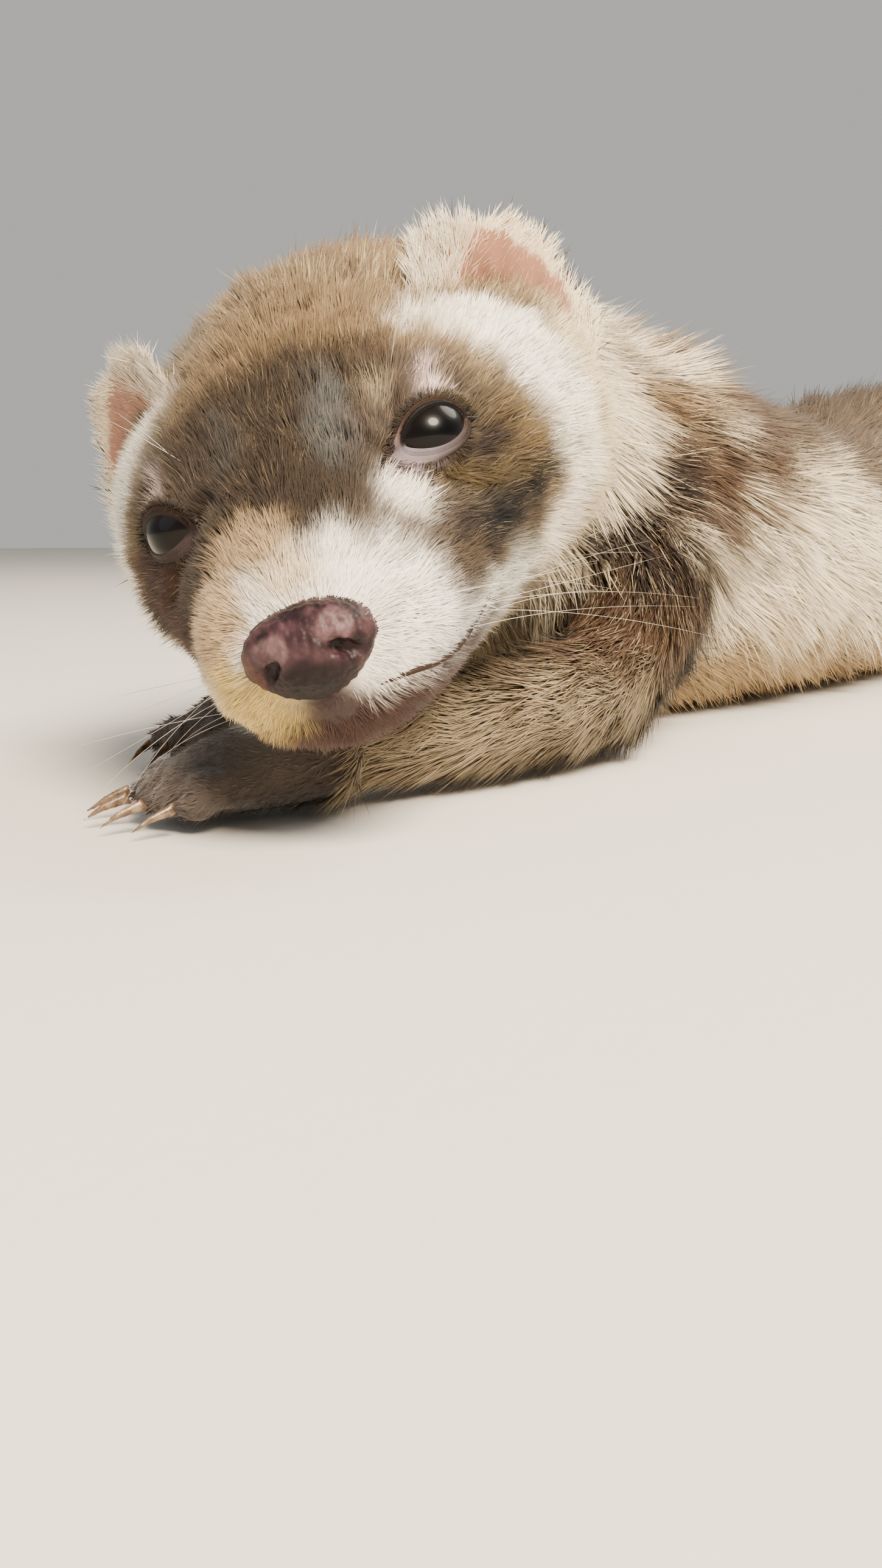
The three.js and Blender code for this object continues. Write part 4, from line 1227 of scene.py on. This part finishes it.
def earForm(side):
    half, high, cup, rim, root, rings, sides = (earShape[key] for key in (
        "half", "high", "cup", "rim", "root", "rings", "sides"))
    t = stepsRound(sides)
    c, s = np.cos(t), np.sin(t)

    def surface(r, front):
        squared = 1 + 0.06 * np.cos(4 * t)
        hollow = cup * (1 - r * r) * (0.75 + 0.25 * np.maximum(-s, 0))
        thick = (root + (rim - root) * r) * math.sqrt(max(1 - r**4, 0.02))
        curl = 1.6 * r**3 * np.maximum(s, 0)
        # the fold at the base of the cup, its ridges, and the notch in the rim's outer edge
        ridge = 0.55 * np.exp(-(((r * s - 0.05) / 0.16) ** 2)) * np.exp(-((r * c / 0.6) ** 2))
        ridge = ridge + 0.35 * np.exp(-(((r * s + 0.3 - 0.3 * r * c) / 0.1) ** 2))
        fold = 0.25 * np.sin(7 * t + 2) * r**4
        height = -hollow - curl + (thick + ridge if front else -thick + 0.2 * ridge) + fold * 0.4
        edge = 1 + 0.015 * np.sin(5 * t + 1) + 0.01 * np.sin(11 * t)
        return np.stack([half * r * c * squared * edge, high * r * s * squared * edge, height], -1)

    steps = np.sin((np.arange(rings) + 1) / rings * math.pi / 2)
    grid = [surface(r, True) for r in steps] + [surface(r, False) for r in steps[::-1]]
    ends = [surface(1e-6, front)[0] for front in (True, False)]
    points, faces = loft(grid, ends[0], ends[1])
    front = np.concatenate([np.ones(rings * sides), np.zeros(rings * sides), [1, 0]])
    inHead = points @ earAxes().T + np.array(earShape["place"])
    return fromHead(mirrored(inHead, side)), faces[:, ::side], front, points


earFinish = softFinish(
    "earSkin", "skinTone",
    {"Roughness": 0.55, "Specular IOR Level": 0.35, "Sheen Weight": 0.2},
    level=0.8, patches=[(0.25, 5, 5, 0.7), (0.15, 0.6, 3)],
    relief=[(0.5, 0.6, 3), (0.5, 5, 5, 0.7)], bump=(0.5, 0.25))


# a direction given in the head's frame for the left side
def headDirection(direction, side):
    return fromHead(mirrored(direction, side)) - headMiddle


def makeEar(side, word):
    points, faces, front, flat = earForm(side)
    normals = vertexNormals(points, faces)
    x, y = flat[:, 0] / earShape["half"], flat[:, 1] / earShape["high"]
    radius = np.hypot(x, y)
    ragged = 0.06 * waves(points, 3, 41)
    inside = front[:, None] > 0.5
    # the cup's skin: darker towards its middle, with painted shade darkening its lower part, and a cream rim
    inner = toned("#b48f7a", "#7f5f50", smooth(0.8, 0.1, radius + 2 * ragged))
    inner = toned(inner, "#7a5a4e", 0.7 * smooth(0.2, -0.6, y + ragged))
    inner = toned(inner, "#efe2cd", smooth(0.85, 1.0, radius + ragged))
    outer = toned("#cdb79a", "#efe2cd", smooth(0.6, 1, radius))
    piece = makePiece("ear" + word, points, faces, earFinish, "ears", ["ear_" + word.lower()])
    setColour(piece.data, "skinTone", np.where(inside, inner, outer))
    labels = np.zeros(len(points), int)
    setUnwrap(piece.data, chartsOf(points, faces, labels).reshape(-1, 2))
    # the hair lies up and back, and away from the ear at its inner end
    along, rise = earAxes().T[:2]
    lie = headDirection(rise, side)[None] * 0.9 + headDirection([-1, 0.1, 0.1], side)[None] * 0.35
    lie = lie + headDirection(-along, side)[None] * (1.6 * smooth(-0.3, -0.8, x))[:, None]
    lie = unit(flattened(lie, normals))
    rim = smooth(0.7, 0.9, radius)
    tips, roots = (np.where(inside, toned(a, b, rim), tone(back)[None]) for a, b, back in (
        ("#d9bfa8", "#f5ecd8", "#efe4cd"), ("#b08a76", "#e3d3bb", "#cdb899")))
    tips, roots = toned([tips, roots], ("#f6efe0", "#c3ac95"), smooth(-0.3, -0.7, x + ragged) * front)
    dark = smooth(0.35, -0.45, y) * smooth(0.2, -0.6, x) * (front < 0.5) * smooth(0.9, 0.6, radius)
    tips = toned(tips, "#7b6553", dark)
    eased = unit(relaxed(normals, edgesOf(faces, len(points)), 0.5, 60))
    surface = {"points": points, "faces": faces, "normals": eased, "lie": lie, "labels": labels,
               "tips": tips, "roots": roots}
    tree = treeOf(points)

    def amount(found):
        near = nearestIn(tree, found)
        r = radius[near]
        inner = 0.1 + 0.9 * smooth(0.8, 0.96, r) + 0.2 * smooth(-0.55, -0.85, y[near])
        inner = inner + 1.4 * smooth(-0.35, -0.75, x[near])
        return np.where(front[near] > 0.5, inner, 1.0 - 0.9 * smooth(0.8, 0.93, r))

    def depth(found):
        near = nearestIn(tree, found)
        r, along = radius[near], x[near]
        fringe = smooth(0.2, 0.9, along) * smooth(0.7, 1, r) + 0.8 * smooth(-0.3, -0.7, along)
        return np.where(front[near] > 0.5, 0.3, 0.55) + 0.3 * smooth(0.85, 1, r) + 0.6 * fringe

    growCoat("coatEar" + word, dict(
        where=lambda points, labels: np.ones(len(points), bool), density=amount, count=9000, depth=depth,
        rise=17, wide=0.1, lock=1.6, perLock=6, pull=0.25, seed=60 + side, stray=0.22, even=0.4, sink=0.02),
        surface, slot="ears")


for side, word in ((1, "Left"), (-1, "Right")):
    makeEar(side, word)


# eyes: a wet dark ball with a raised cornea, lids and the pink inner corner

def eyeMaterial():
    material, shade, link = newMaterial("wetEye", {
        "Roughness": 0.3, "Specular IOR Level": 0.12,
        "Coat Weight": 0.3, "Coat Roughness": 0.03, "Coat IOR": 1.33})
    link("Base Color", shade.ramp(
        shade.numbered("fromPupil") + 0.06 * shade.noise(0.5, 4, 0.7),
        (0, "#050506"), (0.3, "#07080a"), (0.42, "#1d1611"),
        (0.62, "#2c2018"), (0.76, "#1a1310"), (0.9, "#3a2822")))
    return material


lidShape = {
    "edge": 0.32,  # how far the lids' edge stands off the ball
    "farDim": 0.85,  # painted shade on the far eye's lids: how much darker they are
    "rings": 40,
    "sides": 132,
}


def makeEye(side, word):
    radius, bulge = eyeShape["radius"] - eyeShape["inset"], eyeShape["bulge"]
    rings, sides = 44, 64
    polar = (np.arange(1, rings) / rings * math.pi)[:, None]
    turn = stepsRound(sides)[None, :]
    r = radius + bulge * np.exp(-((polar / 0.55) ** 2))
    grid = np.stack([r * np.cos(polar) + 0 * turn, r * np.sin(polar) * np.cos(turn),
                     r * np.sin(polar) * np.sin(turn)], -1)
    points, faces = loft(grid, [radius + bulge, 0, 0], [-radius, 0, 0])
    polarAt = np.concatenate([np.repeat(polar.ravel(), sides), [0, math.pi]])
    # the pupil of a ferret is wider than it is high
    flat = np.hypot(points[:, 1] * 0.85, points[:, 2] * 1.15) / eyeShape["radius"]
    eye = makePiece("eye" + word, fromEye(points, side), faces[:, ::side], eyeMaterial(), "eyes",
                    ["eye_" + word.lower()])
    setNumber(eye.data, "fromPupil", np.where(polarAt < 1.5, np.clip(flat, 0, 1), 1))


lidFinish = softFinish(
    "lidSkin", "skinTone",
    {"Roughness": 0.6, "Specular IOR Level": 0.14, "Coat Weight": 0.02, "Coat Roughness": 0.3},
    level=0.7, patches=[(0.55, 1.1, 4, 0.65)], relief=[(1, 0.35, 3)], bump=(0.45, 0.12))


# the skin's distance from the middle of the eye, along directions out of it
def skinDistance(directions, side):
    local = toEye(skinPoints, side)
    away = np.linalg.norm(local, axis=1)
    close = np.where((away < 10) & (local[:, 0] > -2))[0]
    facing = unit(local[close])
    outside = openingAt(facing) > 1.2
    facing, away = facing[outside], away[close][outside]
    tree = treeOf(facing)
    found = []
    for d in directions.reshape(-1, 3):
        near = tree.find_n(d, 6)
        weight = np.array([1 / (n[2] + 0.02) ** 2 for n in near])
        found.append((away[[n[1] for n in near]] * weight).sum() / weight.sum())
    return np.array(found).reshape(directions.shape[:-1])


# tones of the lids: dark edge above; below, lilac skin with a painted bluish-grey highlight along its edge;
# mauve inner corner; painted shade over the far eye's lids
def lidTones(turn, out, dim):
    def around(middle, width):
        return np.exp(-(((turn - middle + math.pi) % (2 * math.pi) - math.pi) / width) ** 2)

    above = smooth(-0.05, 0.35, np.sin(turn))
    upper = toned("#241b17", "#54402f", smooth(0.4, 1.0, out))
    upper = toned(upper, "#8f7d78", around(0.9 * math.pi, 0.4) * smooth(0.5, 1.1, out))
    # the lower edge: a painted bluish-grey highlight right at the edge, lilac skin beyond it, dark brown
    # towards the outer corner
    rim = toned("#969197", "#a39da1", smooth(0.2, 0.7, out))
    rim = mixed(tone("#57483e")[None], rim, around(1.25 * math.pi, 0.85))
    lower = toned(rim, "#463629", smooth(0.6, 1.0, out))
    colour = mixed(lower, upper, above)
    colour = toned(colour, "#4a3a30", around(0, 0.55) * smooth(0, 0.3, out))
    corner = around(1.2 * math.pi, 0.7) * smooth(0.1, 0.5, out) * smooth(2.8, 1.7, out)
    colour = toned(colour, "#a0959a", corner)
    # painted shade over the far eye's lids
    return toned(colour, "#4f3f34", dim)


def makeLids(side, word):
    radius, rings, sides = eyeShape["radius"], lidShape["rings"], lidShape["sides"]
    t = stepsRound(sides)
    # y is along the lids, towards the outer corner, z across them
    high = np.where(np.sin(t) > 0, eyeShape["high"], eyeShape["low"])
    edge = np.stack([eyeShape["half"] * np.cos(t),
                     high * np.sin(t) * np.abs(np.sin(t)) ** eyeShape["pointed"]], -1)
    outward = unit(np.stack([np.cos(t), 1.6 * np.sin(t)], -1))

    def facing(reach):
        place = edge + outward * reach
        return unit(np.stack([np.full(sides, radius), place[:, 0], place[:, 1]], -1))

    outer = eyeShape["lidWidth"] * np.linspace(0, 1, rings - 5)[1:] ** 1.3
    out = np.concatenate([np.linspace(-0.75, 0, 6), outer])
    directions = np.stack([facing(reach) for reach in out])
    onSkin = skinDistance(directions, side)
    ringEdges = edgesOf(ringFaces(rings, sides), rings * sides)
    eased = relaxed(onSkin.ravel(), ringEdges, 0.5, 14).reshape(rings, sides)
    beyond = np.maximum(out, 0)[:, None]
    roll = lidShape["edge"] * smooth(-0.4, 0.2, out)[:, None]
    folds = 0.09 * np.sin(beyond * 6.5 + 0.6 * np.sin(3 * t))
    folds = folds * smooth(0.3, 0.8, beyond) * smooth(2.6, 1.4, beyond)
    lying = smooth(0.25, 1.7, beyond)
    distance = (radius - eyeShape["inset"] + roll) * (1 - lying) + (eased + 0.14) * lying + folds
    distance -= 0.75 * smooth(0.72, 1, beyond / eyeShape["lidWidth"])
    grid = directions * distance[..., None]
    under = directions[::-1] * (distance[::-1] - 0.45)[..., None]
    grid = np.concatenate([grid, under])
    count = len(grid)
    faces = ringFaces(count, sides)
    last = (count - 1) * sides
    j = np.arange(sides)
    after = (j + 1) % sides
    closing = [np.stack([last + j, j, after], -1), np.stack([last + j, after, last + after], -1)]
    faces = np.concatenate([faces, *closing])
    points = grid.reshape(-1, 3)
    flat = np.cross(points[faces[:, 1]] - points[faces[:, 0]], points[faces[:, 2]] - points[faces[:, 0]])
    middle = rings * sides // 2
    if (flat[middle:middle + sides] * points[faces[middle:middle + sides, 0]]).sum() < 0:
        faces = faces[:, ::-1]
    faces = faces[:, ::side]
    turn, reach = np.tile(t, count), np.repeat(np.concatenate([out, out[::-1]]), sides)
    world = fromEye(points, side)
    lids = makePiece("lids" + word, world, faces, lidFinish, "coat")
    setColour(lids.data, "skinTone", lidTones(turn, reach, 0 if side > 0 else lidShape["farDim"]))
    # short hair on the lids, from the edge outwards
    normals = vertexNormals(world, faces)
    lie = unit(world - fromEye(np.array([[radius, 0, 0]]), side)[0])
    lie = unit(flattened(lie, normals))
    onTop = np.arange(len(points)) < rings * sides
    tips, roots = toned(headTones(world), ("#453528", "#32261e"), 0.7 * smooth(1.5, 0.7, reach))
    surface = {"points": world, "faces": faces, "normals": normals, "lie": lie,
               "labels": np.zeros(len(world), int), "tips": tips, "roots": roots}
    bare = np.where(np.sin(turn) < -0.1, 0.85, 0.35) + 0.7 * np.exp(-(((turn - math.pi) / 0.5) ** 2))
    wanted = onTop[faces].all(1) & (reach[faces].mean(1) > bare[faces].mean(1))
    growCoat("coatLids" + word, dict(
        where=lambda points, labels: wanted, count=3200, depth=bodyDepth(0.42), rise=17, wide=0.08,
        lock=1, perLock=5, pull=0.15, seed=70 + side, stray=0.2), surface)


for side, word in ((1, "Left"), (-1, "Right")):
    makeEye(side, word)
    makeLids(side, word)
print("eyes and lids made")


# nose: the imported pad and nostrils, made even and leathery

def noseMaterial():
    material, shade, link = newMaterial("noseLeather", {
        "Roughness": 0.5, "Specular IOR Level": 0.2, "Coat Weight": 0.04, "Coat Roughness": 0.35})
    pebbles = shade.node("ShaderNodeTexVoronoi", None, {"Vector": shade.place(), "Scale": 1900.0})
    mottle = shade.node("ShaderNodeMapRange", {"interpolation_type": "SMOOTHSTEP"}, {
        "Value": shade.noise(3.2, 3, 0.6), "From Min": 0.42, "From Max": 0.62})
    base = shade.painted("skinTone").towards(tone("#4b353b"), mottle * 0.6)
    link("Base Color", base.brighter(1.05 - 0.3 * pebbles))
    link("Normal", shade.bump(1 - pebbles, 0.5, 0.14))
    return material


nosePatches = [  # tone, share, place and spread in the head's frame
    ("#9a8285", 0.7, (46.8, 3.7, -4.9), (3, 1.7, 1.5)),
    ("#9a8486", 0.7, (46.8, -2.7, -5.4), (3, 1.8, 1.4)),
    ("#957266", 0.7, (45.5, -6, -7.6), (3, 1.5, 2.4)),
    ("#2c1b1e", 0.9, (46.5, -0.6, -9.2), (3, 3.8, 2.3)),
]


def makeNose():
    points, faces = remeshed(*nodeShape("nose"), 0.24)
    edges = edgesOf(faces, len(points))
    points = relaxed(points, edges, 0.5, 14)
    normals = vertexNormals(points, faces)
    hollow = ((relaxed(points, edges, 0.5, 160) - points) * normals).sum(1)
    grain = 0.12 + 0.05 * waves(points, 1.3, 51) + 0.04 * waves(points, 0.7, 52)
    points = points + normals * grain[:, None]
    p = toHead(points)
    mottle = waves(points, 4, 53) * 0.5 + waves(points, 2, 54) * 0.4

    colour = toned("#725a5f", "#48363c", smooth(-0.3, 0.5, mottle))
    for code, share, place, spread in nosePatches:
        colour = toned(colour, code, share * inBlob(p, place, spread, 0.1 * mottle))
    # painted shade fills the nose's hollows: the nostrils are near-black on the far side, reddish inside on
    # the near side
    nostrilToneAndShade = toned("#2b1416", "#5e2a27", smooth(3, 5, p[:, 1]))
    nose = makePiece("noseLeather", points, faces, noseMaterial(), "nose", ["nose"])
    setColour(nose.data, "skinTone", mixed(colour, nostrilToneAndShade, smooth(0.0, 0.35, hollow)))


makeNose()


# the line of the mouth, a thin dark roll sunk between the lips

def makeLips():
    left = [(x, headSide(x, z), z) for x, z in mouth["places"]]
    path = [(x, -y, z) for x, y, z in left[::-1]] + [mouth["front"]] + left
    count = 200
    centre = curveThrough(path, count)
    out = unit(centre * [0.25, 1, 0] + np.array([0.01, 0, 0]))
    middle = np.abs(centre[:, 1]) < 6
    out[middle] = unit(centre[middle] * [0.4, 1, 0])
    out = unit(relaxed(out, np.stack([np.arange(count - 1), np.arange(1, count)], -1), 0.5, 14))
    t = np.linspace(0, 1, count)
    ends = smooth(0, 0.09, t) * smooth(1, 0.91, t)
    deep = mouth["depth"] * (0.9 + 0.35 * (1 - ends)) + 0.5 * smooth(-1, -5, centre[:, 1])
    line = centre - out * deep[:, None] + np.array([0, 0, mouth["lift"]])
    points, faces = tubeAlong(line, mouth["radius"] * (0.35 + 0.65 * ends), 14)
    lips = makePiece("lips", fromHead(points), faces, lidFinish, "coat")
    setColour(lips.data, "skinTone", np.tile(tone(mouth["tone"]), (len(points), 1)))


makeLips()


# claws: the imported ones, rounded, with a material of their own

def clawMaterial():
    material, shade, link = newMaterial("clawHorn", {
        "Roughness": 0.32, "Specular IOR Level": 0.5, "Coat Weight": 0.2, "Coat Roughness": 0.2})
    streak = shade.noise(1.2, 3, 0.6)
    link("Base Color", shade.ramp(streak, (0.3, "#5b4a3c"), (0.5, "#94806a"), (0.75, "#bfae94")))
    link("Normal", shade.bump(streak, 0.2, 0.1))
    return material


def makeClaws():
    names = sorted(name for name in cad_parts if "_claw_" in name)
    shapes = []
    for name in names:
        points, faces = remeshed(*nodeShape(name), 0.22)
        points = relaxed(points, edgesOf(faces, len(points)), 0.5, 3)
        shapes.append((points, faces))
    makePiece("claws", *joinedShapes(shapes), clawMaterial(), "claws", names)


makeClaws()


# whiskers and long feeler hairs

whiskerSets = [  # root area in the head's frame, spread, direction, lengths, how many a side, radius
    {"place": (38.5, 10.5, -9.5), "spread": (3.6, 0.8, 2.6), "ahead": (-0.15, 1, -0.12),
     "long": (14, 28), "count": 9, "radius": 0.026},
    {"place": (20.5, 15.5, 11), "spread": (1.4, 1, 0.8), "ahead": (-0.25, 0.55, 0.8),
     "long": (9, 15), "count": 2, "radius": 0.03},
    {"place": (12, 21, -13.5), "spread": (2, 1, 1), "ahead": (-0.5, 0.9, -0.2),
     "long": (10, 18), "count": 2, "radius": 0.03},
]


def makeWhiskers():
    draw = np.random.default_rng(90)
    shapes = []
    for spec in whiskerSets:
        for side in (1, -1):
            for _ in range(spec["count"]):
                root = np.array(spec["place"]) + draw.uniform(-1, 1, 3) * spec["spread"]
                root[1] = max(headSide(root[0], root[2]) - 2.2, 0.2)
                ahead = unit(np.array(spec["ahead"]) + draw.normal(0, 0.2, 3) * [1, 0.3, 1])
                length = draw.uniform(*spec["long"])
                t = np.linspace(0, 1, 14)[:, None]
                droop = np.array([-0.34, 0, -0.3 + 0.2 * draw.normal()])
                line = root + ahead * length * t + droop * length * t**2 * 0.6
                line = fromHead(mirrored(line, side))
                line[:, 2] = np.maximum(line[:, 2], 0.5)
                shapes.append(tubeAlong(line, spec["radius"] * (1 - 0.85 * t[:, 0]), 5))
    material, shade, link = newMaterial("whiskerHair", {"Roughness": 0.35, "Specular IOR Level": 0.5})
    link("Base Color", shade.ramp(shade.noise(9, 2), (0.3, "#8c7c6c"), (0.6, "#f2ece2")))
    makePiece("whiskers", *joinedShapes(shapes), material, "coat")


makeWhiskers()
print("nose, lips, claws and whiskers made")
